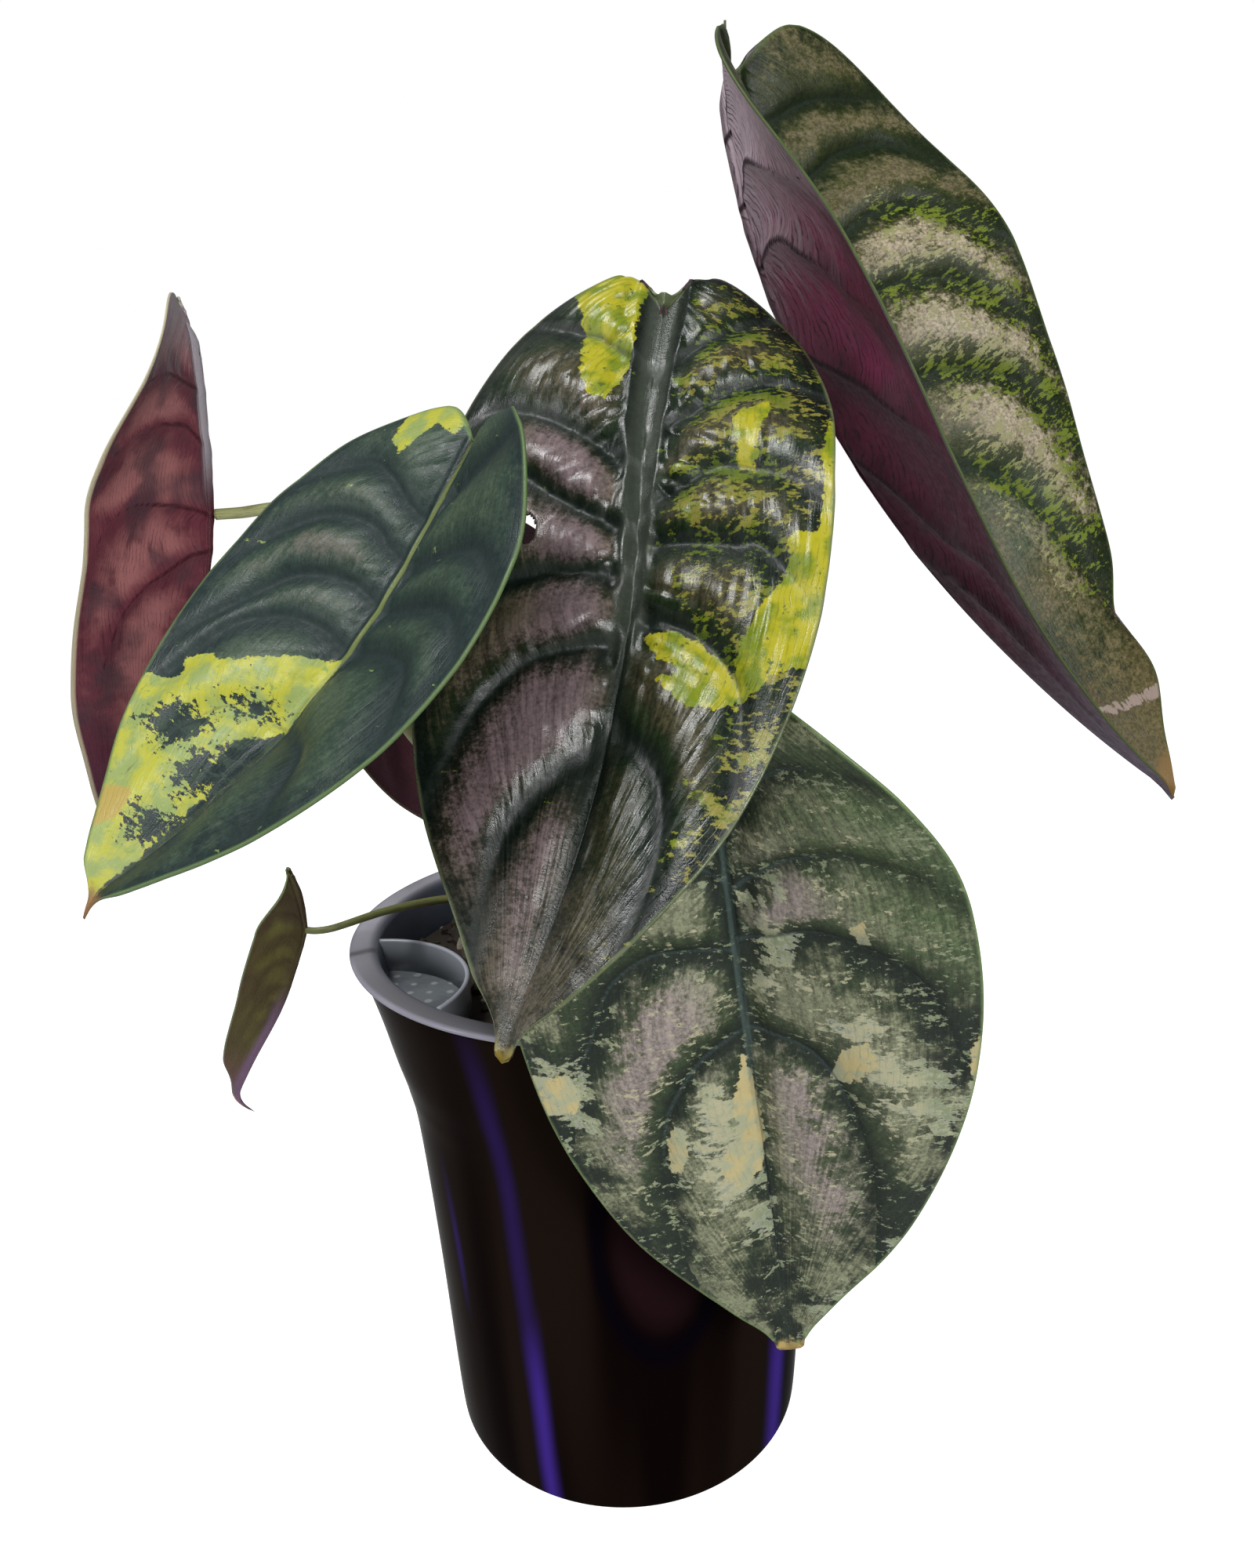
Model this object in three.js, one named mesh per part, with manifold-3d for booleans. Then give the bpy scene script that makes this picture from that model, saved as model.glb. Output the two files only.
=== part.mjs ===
// Potted variegated alocasia: a glossy round pot, a translucent inner pot that hangs in it by its rim,
// chunky growing mix, the short crown of the plant, and seven peltate leaves on seven stalks.
// Millimetres, +Z up. The origin is the centre of the pot's base, where it rests. -Y is the front.
import * as THREE from 'three';
import { mergeVertices } from 'three/addons/utils/BufferGeometryUtils.js';
import Module from 'manifold-3d';

const wasm = await Module();
wasm.setup();

// Driving dimensions
const GAP = 0.3;                 // air left between pieces that touch
const TURN_STEPS = 44;           // sides of the round pieces
const POT_TOP = 147.3;           // height of the outer pot
const POT_WALL = 1.6;
const RIM_TOP = 149;             // top of the inner pot's rim
const RIM_RADIUS = 70;
const MIX_TOP = 137;             // level of the growing mix
const CROWN_RADIUS = 14.5;
const CROWN_BASE = 126;
const HOLE_ROOM = 0.5;           // how much wider than its stalk a hole in the crown is
const STALK_FOOT = 128.3;        // lower end of every stalk, inside its hole in the crown
const POCKET = { x: -62, y: -32.5, radius: 26.5, floor: 139, top: 148, wall: 1.2 };
const POCKET_HOLE = { radius: 0.9, pitch: 5.2 };
const DRAIN = { count: 6, radius: 3, circle: 28 };
const BLADE_HALF = 0.4;          // half the thickness of a leaf blade
const RIB_DEPTH = 0.7;           // how far the midrib stands out below the blade
const STALK_SIDES = 8;
const STALK_STEPS = 16;
const PEBBLES = 42;
const PEBBLE_SEED = 20260;

// Outer face of the glossy pot, from the foot up: a gentle taper and a flared collar.
const POT_PROFILE = [
  [46.4, 0], [49.6, 1.6], [50.8, 7], [53.5, 58], [56.2, 96], [58.4, 110], [60.9, 120], [63.9, 133],
  [67.8, POT_TOP],
];

// One row for each main vein of half a leaf, as fractions of half the width and of the length:
// where it meets the margin (across, down), where it leaves the midrib (down), and the point
// that it bows towards (across, down). The first row is the notch and the last the tip.
const VEINS = [
  { margin: [0.00, 0.055], root: 0.055, bow: [0.00, 0.055] },
  { margin: [0.30, 0.000], root: 0.100, bow: [0.09, 0.030] },
  { margin: [0.74, 0.085], root: 0.165, bow: [0.36, 0.070] },
  { margin: [0.95, 0.230], root: 0.235, bow: [0.52, 0.135] },
  { margin: [1.00, 0.400], root: 0.315, bow: [0.62, 0.235] },
  { margin: [0.91, 0.585], root: 0.395, bow: [0.74, 0.340] },
  { margin: [0.67, 0.765], root: 0.485, bow: [0.80, 0.460] },
  { margin: [0.31, 0.905], root: 0.600, bow: [0.55, 0.620] },
  { margin: [0.00, 1.000], root: 1.000, bow: [0.00, 1.000] },
];
const ROWS_PER_VEIN = 4;        // mesh rows between two veins, half as many on a small leaf
const SMALL_LEAF = 90;
const ACROSS = [0.13, 0.34, 0.56, 0.79, 1];   // mesh lines from the midrib to the margin

// The leaves. attach: where the stalk meets the blade. heading: the way the tip points, 0 is the
// front and 90 is +X. droop: how far the tip hangs below level. arch, bend and twist: degrees over
// the leaf's length in front of the attachment (tip) and behind it (lobe). fold: the rise of each
// half from the midrib at the lobes, at the attachment and at the tip. curl: its further bend
// out to the margin. lobe: the attachment's place along the leaf. lean: how much wider the right
// half is. puff: the height of the blisters between the veins. swells: places where the margin runs
// further out or down. The stalk's from is the side that it reaches the blade from, and via its
// way there.
const LEAVES = [
  {
    name: 'upper_right', colour: 0x55304a,
    attach: [45.8, -22.8, 293], heading: 63.1, droop: 63.9, roll: 10,
    length: 200, width: 107.6, lobe: 0.34, full: 0.915, lean: 0.012,
    arch: { tip: -42.8, swoop: 5.3, lobe: -74 }, bend: { tip: 25, lobe: 12 },
    twist: { even: -8.3, late: 8.8 },
    fold: { left: [31.5, 47.7, 33.3], right: [30.4, 54.4, 32] }, curl: { left: -12.7, right: -12.9 },
    puff: 2.6,
    swells: [
      { side: -1, at: 1.1, reach: 0.8, out: 0, down: 8 },
      { side: 1, at: 6.38, reach: 0.16, out: -5, down: 0 },
      { side: 1, at: 7.0, reach: 0.3, out: 3, down: 0 },
    ],
    stalk: {
      foot: [8, 3], radius: [2.6, 1.5], via: [[10.5, 5, 190], [17, 2, 252]],
      from: [-14, 11, -8.6], lead: 20,
    },
  },
  {
    name: 'centre', colour: 0x26332c,
    attach: [9.5, -75.6, 256.6], heading: -9.2, droop: 58.2, roll: 3.6,
    length: 160, width: 79.8, lobe: 0.382, full: 1.056, lean: -0.082,
    arch: { tip: -23.5, swoop: -3, lobe: 22.5 }, bend: { tip: -29, lobe: 13.4 },
    twist: { even: 4.3, late: 0.8 },
    fold: { left: [-3.9, 5.1, 23.4], right: [-11, 17.8, 17.2] }, curl: { left: -15.8, right: -13.7 },
    puff: 2.4, swells: [],
    stalk: {
      foot: [1, -4], radius: [2.6, 1.5], via: [[1.5, -10, 180], [4, -28, 222]],
      from: [4, 18, -13], lead: 22,
    },
  },
  {
    name: 'left', colour: 0x3d4f4c,
    attach: [-30.9, -85.1, 252.8], heading: -50.3, droop: 52.2, roll: -3.8,
    length: 111.7, width: 74.9, lobe: 0.28, full: 1.026, lean: -0.025,
    arch: { tip: -44.4, swoop: 7.8, lobe: -9.4 }, bend: { tip: -8.2, lobe: 10.4 },
    twist: { even: -11.8, late: 1.6 },
    fold: { left: [13.7, 22.3, 22.7], right: [22.2, 13, 18.8] }, curl: { left: -4.5, right: -9.5 },
    puff: 1.9, swells: [],
    stalk: {
      foot: [-6, -7], radius: [2.4, 1.4], from: [-8, 9, -15], lead: 17,
      via: [[-10, -15, 168], [-27, -35, 194], [-40, -58, 219]],
    },
  },
  {
    name: 'far_left', colour: 0x6b2f40,
    attach: [-103.7, 24.3, 259.8], heading: -98.9, droop: 82.5, roll: -12.8,
    length: 154.8, width: 82.8, lobe: 0.368, full: 0.991, lean: 0.016,
    arch: { tip: -57.8, swoop: 8.9, lobe: -53.8 }, bend: { tip: 9.6, lobe: 19 },
    twist: { even: 13.4, late: 2.2 },
    fold: { left: [21.6, 24, 34.9], right: [3.7, 34.1, 45] }, curl: { left: -17.8, right: -16.9 },
    puff: 1.9, swells: [],
    stalk: {
      foot: [-5, 6], radius: [2.5, 1.5], via: [[-12, 9, 190], [-40, 16, 244]],
      from: [30, -1, 1], lead: 24,
    },
  },
  {
    name: 'front_right', colour: 0x46564a,
    attach: [24.8, -81.7, 191.2], heading: -27.4, droop: 104.6, roll: -7.7,
    length: 167.7, width: 95.9, lobe: 0.243, full: 1.045, lean: -0.004,
    arch: { tip: -10.6, swoop: -10.7, lobe: 17.6 }, bend: { tip: 6.1, lobe: 3.4 },
    twist: { even: -12.8, late: -3.6 },
    fold: { left: [10, 20.4, 23.4], right: [26, 10.6, 6.8] }, curl: { left: -6, right: -9.7 },
    puff: 2.4, swells: [],
    stalk: {
      foot: [8, -6], radius: [2.5, 1.5], via: [[11, -17, 172], [19, -42, 190]],
      from: [5, 13, 2], lead: 14,
    },
  },
  {
    name: 'young', colour: 0x5b5134,
    attach: [-77.4, -21.1, 157.7], heading: -87.7, droop: 73, roll: 8.4,
    length: 69.1, width: 29, lobe: 0.252, full: 0.985, lean: 0.004,
    arch: { tip: -23, swoop: 9, lobe: -47.4 }, bend: { tip: 17, lobe: 2.5 },
    twist: { even: 10, late: 1.7 },
    fold: { left: [51.2, 36, 25.5], right: [37.9, 40.3, 35.3] }, curl: { left: -12.7, right: -10.6 },
    puff: 0.5, swells: [],
    stalk: {
      foot: [-10, -1], radius: [1.5, 0.9], from: [10, 2, 0.2], lead: 5,
      via: [[-15, -1.5, 151.5], [-27, -3, 157.8], [-43.6, -5, 158.5], [-58, -13, 158.9]],
    },
  },
  {
    name: 'back', colour: 0x3a1a24,
    attach: [-44, 44.9, 228.4], heading: 183.5, droop: 80.3, roll: -8.5,
    length: 104.7, width: 80.9, lobe: 0.274, full: 0.952, lean: 0.026,
    arch: { tip: 20.4, swoop: 14.9, lobe: 15.1 }, bend: { tip: -20.3, lobe: 1.8 },
    twist: { even: -1.5, late: -1.9 },
    fold: { left: [20, 18, 18], right: [20, 17.5, 8.3] }, curl: { left: -10, right: -12 },
    puff: 1.8, swells: [],
    stalk: {
      foot: [1, 9], radius: [2.3, 1.4], via: [[-2, 13, 180], [-20, 19, 216]],
      from: [8, -24, -6], lead: 16,
    },
  },
];
// A small round hole that something bit in the centre leaf, and the way it goes through.
const BITE = { leaf: 'centre', at: [-12.3, -69.5, 258.6], wide: 2.7, tall: 4.0 };

const rad = THREE.MathUtils.degToRad;
const clamp = THREE.MathUtils.clamp;
const ease = (u) => u * u * (3 - 2 * u);

// A smooth curve through a list of numbers, read at a fractional index.
function smoothRead(values, at) {
  const last = values.length - 1;
  const i = Math.min(Math.floor(clamp(at, 0, last)), last - 1);
  const u = clamp(at, 0, last) - i;
  const p1 = values[i];
  const p2 = values[i + 1];
  const p0 = i > 0 ? values[i - 1] : 2 * p1 - p2;
  const p3 = i < last - 1 ? values[i + 2] : 2 * p2 - p1;
  return 0.5 * (2 * p1 + (p2 - p0) * u + (2 * p0 - 5 * p1 + 4 * p2 - p3) * u * u
    + (3 * p1 - p0 - 3 * p2 + p3) * u * u * u);
}

// The flat leaf: vein is 0 at the notch and 8 at the tip, side is -1 or 1, and out runs from the
// midrib (0) to the margin (1) along the vein's bowed line. Gives across and along from the
// attachment, in millimetres.
function flatPoint(leaf, vein, side, out) {
  const read = (pick) => smoothRead(VEINS.map(pick), vein);
  const edge = Math.max(read((v) => v.margin[0]), 0) ** leaf.full;
  const bow = Math.max(read((v) => v.bow[0]), 0);
  const a = (1 - out) * (1 - out);
  const b = 2 * (1 - out) * out;
  const c = out * out;
  let across = (b * bow + c * edge) * leaf.width / 2 * (1 + side * leaf.lean);
  let along = a * read((v) => v.root) + b * read((v) => v.bow[1]) + c * read((v) => v.margin[1]);
  for (const swell of leaf.swells.filter((each) => each.side === side)) {
    const strength = Math.exp(-(((vein - swell.at) / swell.reach) ** 2)) * c;
    across += swell.out * strength;
    along += swell.down * strength / leaf.length;
  }
  return [side * Math.max(across, 0), (along - leaf.lobe) * leaf.length];
}

// Directions at the attachment: the way the tip points, the right side and the upper face.
function leafAxes(leaf) {
  const h = rad(leaf.heading);
  const d = rad(leaf.droop);
  const tip = new THREE.Vector3(Math.sin(h) * Math.cos(d), -Math.cos(h) * Math.cos(d), -Math.sin(d));
  const right = new THREE.Vector3(Math.cos(h), Math.sin(h), 0);
  const up = tip.clone().cross(right);
  right.applyAxisAngle(tip, rad(leaf.roll));
  up.applyAxisAngle(tip, rad(leaf.roll));
  return { tip, right, up };
}

// The midrib as short steps from the attachment, each with its own directions.
function makeMidrib(leaf) {
  const axes = leafAxes(leaf);
  const steps = 120;
  const frames = [];
  const turnAt = (q) => {
    const front = q > 0;
    const pitch = rad(front ? leaf.arch.tip * q + leaf.arch.swoop * q * q : leaf.arch.lobe * q);
    const yaw = rad((front ? leaf.bend.tip : leaf.bend.lobe) * q);
    return { pitch, yaw };
  };
  const mix = (x, y, z) => new THREE.Vector3()
    .addScaledVector(axes.tip, x).addScaledVector(axes.right, y).addScaledVector(axes.up, z);
  const tangent = (q) => {
    const { pitch, yaw } = turnAt(q);
    return mix(Math.cos(pitch) * Math.cos(yaw), Math.cos(pitch) * Math.sin(yaw), -Math.sin(pitch));
  };
  const walk = (from, to) => {
    const place = new THREE.Vector3(...leaf.attach);
    const list = [];
    for (let i = 0; i <= steps; i += 1) {
      const q = from + (to - from) * (i / steps);
      const step = (to - from) / steps;
      if (i > 0) place.addScaledVector(tangent(q - step / 2), step * leaf.length);
      list.push({ q, place: place.clone() });
    }
    return list;
  };
  frames.push(...walk(0, -leaf.lobe).reverse(), ...walk(0, 1 - leaf.lobe).slice(1));
  return (q) => {
    const span = clamp((q + leaf.lobe) / 1, 0, 1);
    const split = leaf.lobe;
    const at = span < split ? (span / split) * steps : steps + ((span - split) / (1 - split)) * steps;
    const i = Math.min(Math.floor(at), frames.length - 2);
    const place = frames[i].place.clone().lerp(frames[i + 1].place, at - i);
    const forward = tangent(q);
    const { yaw } = turnAt(q);
    const right = mix(-Math.sin(yaw), Math.cos(yaw), 0);
    const up = forward.clone().cross(right);
    const twist = rad(leaf.twist.even * q + leaf.twist.late * q * Math.abs(q));
    right.applyAxisAngle(forward, twist);
    up.applyAxisAngle(forward, twist);
    return { place, right, up };
  };
}

// Blisters between the sunken veins. They die out at the midrib, at the margin, and on the smooth
// band between the two ribs that run from the attachment to the notch.
function puffHeight(leaf, vein, across, along, out) {
  const blister = Math.abs(Math.sin(Math.PI * vein)) ** 0.75;
  const rise = 1 - Math.exp(-out / 0.08);
  const fall = 1 - out ** 2.6;
  const band = along < 0 ? ease(clamp((Math.abs(across) / leaf.width - 0.035) / 0.03, 0, 1)) : 1;
  const ends = ease(clamp(vein / 0.8, 0, 1)) * ease(clamp((8 - vein) / 0.9, 0, 1));
  return leaf.puff * blister * rise * fall * band * ends;
}

// A point of the blade's middle surface in space.
function bladePoint(leaf, midrib, vein, side, out) {
  const [across, along] = flatPoint(leaf, vein, side, out);
  const q = along / leaf.length;
  const frame = midrib(q);
  const [atLobe, atStalk, atTip] = side > 0 ? leaf.fold.right : leaf.fold.left;
  const back = ease(clamp(-q / leaf.lobe, 0, 1));
  const front = ease(clamp(q / (1 - leaf.lobe), 0, 1));
  const fold = rad(atStalk + (atLobe - atStalk) * back + (atTip - atStalk) * front);
  const curl = rad(side > 0 ? leaf.curl.right : leaf.curl.left);
  const half = leaf.width / 2;
  const reach = Math.abs(across) / half;
  const sideways = (Math.sin(fold + curl * reach) - Math.sin(fold)) / curl * half;
  const lift = (Math.cos(fold) - Math.cos(fold + curl * reach)) / curl * half
    + puffHeight(leaf, vein, across, along, out);
  return frame.place.clone()
    .addScaledVector(frame.right, side * sideways)
    .addScaledVector(frame.up, lift);
}

// Solids and cuts
function meshSolid(positions, triangles) {
  return new wasm.Manifold(new wasm.Mesh({
    numProp: 3,
    vertProperties: new Float32Array(positions),
    triVerts: new Uint32Array(triangles),
  }));
}

function solidOf(geometry) {
  const bare = geometry.clone();
  bare.deleteAttribute('normal');
  bare.deleteAttribute('uv');
  const merged = mergeVertices(bare, 1e-4);
  return meshSolid(merged.attributes.position.array, merged.index.array);
}

function geometryOf(solid) {
  const { vertProperties, triVerts } = solid.getMesh();
  const geometry = new THREE.BufferGeometry();
  geometry.setAttribute('position', new THREE.BufferAttribute(new Float32Array(vertProperties), 3));
  geometry.setIndex(new THREE.BufferAttribute(new Uint32Array(triVerts), 1));
  return geometry;
}

// A solid of revolution about Z from [radius, height] points that start and end on the axis or
// close on themselves.
function turned(points, steps = TURN_STEPS) {
  const profile = points.map(([r, z]) => new THREE.Vector2(r, z));
  return new THREE.LatheGeometry(profile, steps).rotateX(Math.PI / 2);
}

function upright(radius, from, to, x, y, sides = 24) {
  return new THREE.CylinderGeometry(radius, radius, to - from, sides)
    .rotateX(Math.PI / 2).translate(x, y, (from + to) / 2);
}

// A sheet of triangles given a thickness along its normals, with a wall round its open edge.
function thicken(points, triangles, below) {
  const sheet = new THREE.BufferGeometry().setFromPoints(points);
  sheet.setIndex(triangles);
  sheet.computeVertexNormals();
  const normal = new THREE.Vector3();
  const positions = [];
  for (const layer of ['upper', 'lower']) {
    points.forEach((point, i) => {
      normal.fromBufferAttribute(sheet.attributes.normal, i);
      const shift = layer === 'upper' ? BLADE_HALF : -below[i];
      positions.push(...point.clone().addScaledVector(normal, shift).toArray());
    });
  }
  const n = points.length;
  const faces = [...triangles];
  const edges = new Map();
  for (let i = 0; i < triangles.length; i += 3) {
    const [a, b, c] = triangles.slice(i, i + 3);
    faces.push(c + n, b + n, a + n);
    for (const [from, to] of [[a, b], [b, c], [c, a]]) {
      if (edges.has(`${to},${from}`)) edges.delete(`${to},${from}`);
      else edges.set(`${from},${to}`, [from, to]);
    }
  }
  for (const [from, to] of edges.values()) {
    faces.push(to, from, from + n, to, from + n, to + n);
  }
  return { positions, faces };
}

// One leaf blade as a closed thin solid.
function makeBlade(leaf) {
  const midrib = makeMidrib(leaf);
  const perVein = leaf.length < SMALL_LEAF ? ROWS_PER_VEIN / 2 : ROWS_PER_VEIN;
  const rows = (VEINS.length - 1) * perVein;
  const leftLines = [...ACROSS].reverse().map((out) => [-1, out]);
  const lines = leftLines.concat([[1, 0]], ACROSS.map((out) => [1, out]));
  const points = [bladePoint(leaf, midrib, 0, 1, 0)];
  const below = [BLADE_HALF];
  for (let i = 1; i < rows; i += 1) {
    const vein = i / perVein;
    for (const [side, out] of lines) {
      points.push(bladePoint(leaf, midrib, vein, side, out));
      below.push(BLADE_HALF + (out === 0 ? RIB_DEPTH * (leaf.length / 160) * (1 - (i / rows) ** 2) : 0));
    }
  }
  points.push(bladePoint(leaf, midrib, rows / perVein, 1, 0));
  below.push(BLADE_HALF);
  const wide = lines.length;
  const last = points.length - 1;
  const triangles = [];
  for (let j = 0; j < wide - 1; j += 1) {
    triangles.push(0, 1 + j, 2 + j);
    for (let i = 0; i < rows - 2; i += 1) {
      const a = 1 + i * wide + j;
      const c = a + wide;
      if (j < (wide - 1) / 2) triangles.push(a, c, a + 1, a + 1, c, c + 1);
      else triangles.push(a, c, c + 1, a, c + 1, a + 1);
    }
    triangles.push(last, last - wide + j + 1, last - wide + j);
  }
  const { positions, faces } = thicken(points, triangles, below);
  let solid = meshSolid(positions, faces);
  if (BITE.leaf === leaf.name) {
    const { up } = leafAxes(leaf);
    const punch = new THREE.CylinderGeometry(1, 1, 16, 14).scale(BITE.wide, 1, BITE.tall);
    punch.applyQuaternion(new THREE.Quaternion().setFromUnitVectors(new THREE.Vector3(0, 1, 0), up));
    solid = solid.subtract(solidOf(punch.translate(...BITE.at)));
  }
  return geometryOf(solid);
}

// The line that a stalk follows: upright out of the crown, over, and square on to the blade.
function stalkPath(leaf) {
  const [x, y] = leaf.stalk.foot;
  const { up } = leafAxes(leaf);
  const from = new THREE.Vector3(...leaf.stalk.from).normalize();
  const slant = Math.sqrt(1 - from.dot(up) ** 2);
  const seat = BLADE_HALF + RIB_DEPTH * (leaf.length / 160) + GAP + slant * leaf.stalk.radius[1];
  const end = new THREE.Vector3(...leaf.attach).addScaledVector(up, -seat);
  return new THREE.CatmullRomCurve3([
    new THREE.Vector3(x, y, STALK_FOOT),
    new THREE.Vector3(x, y, CROWN_BASE + 9),
    new THREE.Vector3(x, y, CROWN_BASE + 17),
    ...leaf.stalk.via.map((p) => new THREE.Vector3(...p)),
    end.clone().addScaledVector(from, leaf.stalk.lead),
    end.clone().addScaledVector(from, leaf.stalk.lead / 4),
    end,
  ]);
}

// A round stalk that thins from its foot to the blade.
function makeStalk(leaf) {
  const path = stalkPath(leaf);
  const [thick, thin] = leaf.stalk.radius;
  const section = new THREE.Shape();
  for (let i = 0; i < STALK_SIDES; i += 1) {
    const a = (i / STALK_SIDES) * 2 * Math.PI;
    if (i === 0) section.moveTo(thick, 0);
    else section.lineTo(thick * Math.cos(a), thick * Math.sin(a));
  }
  const tube = new THREE.ExtrudeGeometry(section, { steps: STALK_STEPS, extrudePath: path });
  const spine = path.getSpacedPoints(STALK_STEPS);
  const place = tube.attributes.position;
  const point = new THREE.Vector3();
  for (let i = 0; i < place.count; i += 1) {
    point.fromBufferAttribute(place, i);
    let best = 0;
    spine.forEach((s, k) => {
      if (s.distanceTo(point) < spine[best].distanceTo(point)) best = k;
    });
    const taper = 1 + (thin / thick - 1) * Math.max(0, best / STALK_STEPS - 0.12) / 0.88;
    point.sub(spine[best]).multiplyScalar(taper).add(spine[best]);
    place.setXYZ(i, point.x, point.y, point.z);
  }
  return geometryOf(solidOf(tube));
}

// The glossy outer pot: a closed floor and one wall, open at the top.
function makeOuterPot() {
  const inner = POT_PROFILE.slice(2).map(([r, z]) => [r - POT_WALL, Math.max(z, 4.2)]).reverse();
  return turned([[0, 0], ...POT_PROFILE, ...inner, [46, 2.4], [0, 2.4]]);
}

// Radius of the inner pot's outer face at a height, two millimetres inside the outer pot's wall.
function basketRadius(z) {
  const i = POT_PROFILE.findIndex(([, height]) => height >= z);
  const [r0, z0] = POT_PROFILE[i - 1];
  const [r1, z1] = POT_PROFILE[i];
  return r0 + (r1 - r0) * ((z - z0) / (z1 - z0)) - POT_WALL - 2.0;
}

const BASKET_WALL = 1.4;
const BASKET_LEVELS = [14, 58, 96, 120, 133];

// The translucent inner pot: flat rim, tapered wall, drain holes and the round watering pocket.
function makeInnerPot() {
  const outside = BASKET_LEVELS.map((z) => [basketRadius(z), z]);
  const inside = outside.map(([r, z]) => [r - BASKET_WALL, z]).reverse();
  const rim = [
    [63, 143], [64, POT_TOP + GAP], [RIM_RADIUS - 0.6, POT_TOP + GAP], [RIM_RADIUS, POT_TOP + 0.8],
    [RIM_RADIUS, 148.5], [RIM_RADIUS - 0.7, RIM_TOP], [64.2, RIM_TOP], [62.9, 148.3], [62.4, 147],
    [61.6, 143],
  ];
  const floor = 12.4;
  let pot = solidOf(turned([
    [0, floor], [basketRadius(14) - 1, floor], ...outside, ...rim, ...inside, [0, floor + BASKET_WALL],
  ]));
  for (let i = 0; i < DRAIN.count; i += 1) {
    const a = (i / DRAIN.count) * 2 * Math.PI;
    const [x, y] = [DRAIN.circle * Math.cos(a), DRAIN.circle * Math.sin(a)];
    pot = pot.subtract(solidOf(upright(DRAIN.radius, floor - 1, floor + 3, x, y, 10)));
  }
  const { x, y, radius, floor: low, top, wall } = POCKET;
  const bore = solidOf(turned([
    [0, 130], [58.8, 130], [59.5, 133], [62.2, 143], [62.9, 147], [63.4, 148.3], [0, 148.3],
  ]));
  let pocket = solidOf(upright(radius, low, top, x, y, 48))
    .subtract(solidOf(upright(radius - wall, low + wall, top + 1, x, y, 48)))
    .intersect(bore);
  const reach = Math.ceil(radius / POCKET_HOLE.pitch);
  for (let i = -reach; i <= reach; i += 1) {
    for (let j = -reach; j <= reach; j += 1) {
      const hx = x + (i + (j % 2) / 2) * POCKET_HOLE.pitch;
      const hy = y + j * POCKET_HOLE.pitch * 0.87;
      const clear = Math.hypot(hx - x, hy - y) < radius - 4 && Math.hypot(hx, hy) < 53.5;
      const hole = upright(POCKET_HOLE.radius, low - 1, low + 3, hx, hy, 6);
      if (clear) pocket = pocket.subtract(solidOf(hole));
    }
  }
  return geometryOf(pot.add(pocket));
}

// A small seeded generator, so that every build scatters the same pebbles.
function makeRandom(seed) {
  let state = seed;
  return () => {
    state = (Math.imul(state, 1664525) + 1013904223) >>> 0;
    return state / 4294967296;
  };
}

// The chunky growing mix: a plug that fills the inner pot, a hollow for the crown, and lumps of
// pumice and bark that grow out of its top.
function makeMix() {
  const levels = BASKET_LEVELS.map((z) => [basketRadius(z) - BASKET_WALL - GAP, Math.max(z, 14.4)]);
  const top = basketRadius(133) - BASKET_WALL - GAP;
  const hollow = CROWN_RADIUS + GAP;
  let mix = solidOf(turned([
    [0, 14.4], ...levels, [top + 0.8, MIX_TOP],
    [hollow, MIX_TOP], [hollow, CROWN_BASE - GAP], [0, CROWN_BASE - GAP],
  ]));
  const random = makeRandom(PEBBLE_SEED);
  const room = top - 0.8;
  let placed = 0;
  while (placed < PEBBLES) {
    const size = 1.8 + 2.6 * random();
    const around = 2 * Math.PI * random();
    const from = hollow + size * 1.25 + 0.4;
    const far = from + (room - size * 1.25 - from) * Math.sqrt(random());
    const [x, y] = [far * Math.cos(around), far * Math.sin(around)];
    const shape = new THREE.IcosahedronGeometry(size, 0);
    shape.scale(1 + 0.25 * random(), 0.8 + 0.3 * random(), 0.75);
    shape.rotateX(random() * 0.6).rotateZ(random() * 6);
    shape.translate(x, y, MIX_TOP - 0.1);
    if (Math.hypot(x - POCKET.x, y - POCKET.y) > POCKET.radius + size * 1.3 + GAP) {
      mix = mix.add(solidOf(shape));
      placed += 1;
    }
  }
  return geometryOf(mix);
}

// The plant's short stem, a low dome in the mix with a plain hole for the foot of each stalk.
function makeCrown() {
  let crown = solidOf(turned([
    [0, CROWN_BASE], [12.5, CROWN_BASE], [CROWN_RADIUS, 130], [CROWN_RADIUS, MIX_TOP],
    [13, 139.6], [9, 141.4], [4, 142.2], [0, 142.2],
  ], 28));
  for (const leaf of LEAVES) {
    const [x, y] = leaf.stalk.foot;
    const hole = upright(leaf.stalk.radius[0] + HOLE_ROOM, STALK_FOOT - GAP, 150, x, y, 12);
    crown = crown.subtract(solidOf(hole));
  }
  return geometryOf(crown);
}

function piece(name, geometry, color, roughness, metalness = 0) {
  const mesh = new THREE.Mesh(geometry, new THREE.MeshStandardMaterial({ color, roughness, metalness }));
  mesh.name = name;
  return mesh;
}

const plant = new THREE.Group();
plant.add(piece('pot_outer', makeOuterPot(), 0x140a12, 0.1));
plant.add(piece('pot_inner', makeInnerPot(), 0xa9adb8, 0.35));
plant.add(piece('growing_mix', makeMix(), 0x6d5f4c, 0.95));
plant.add(piece('crown', makeCrown(), 0x6f6a3c, 0.7));
for (const leaf of LEAVES) {
  plant.add(piece(`leaf_${leaf.name}`, makeBlade(leaf), leaf.colour, 0.4));
  plant.add(piece(`stalk_${leaf.name}`, makeStalk(leaf), 0x74803a, 0.5));
}

export default plant;
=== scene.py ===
import math

import bmesh
import bpy
import numpy as np
from mathutils import Matrix, Vector


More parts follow.
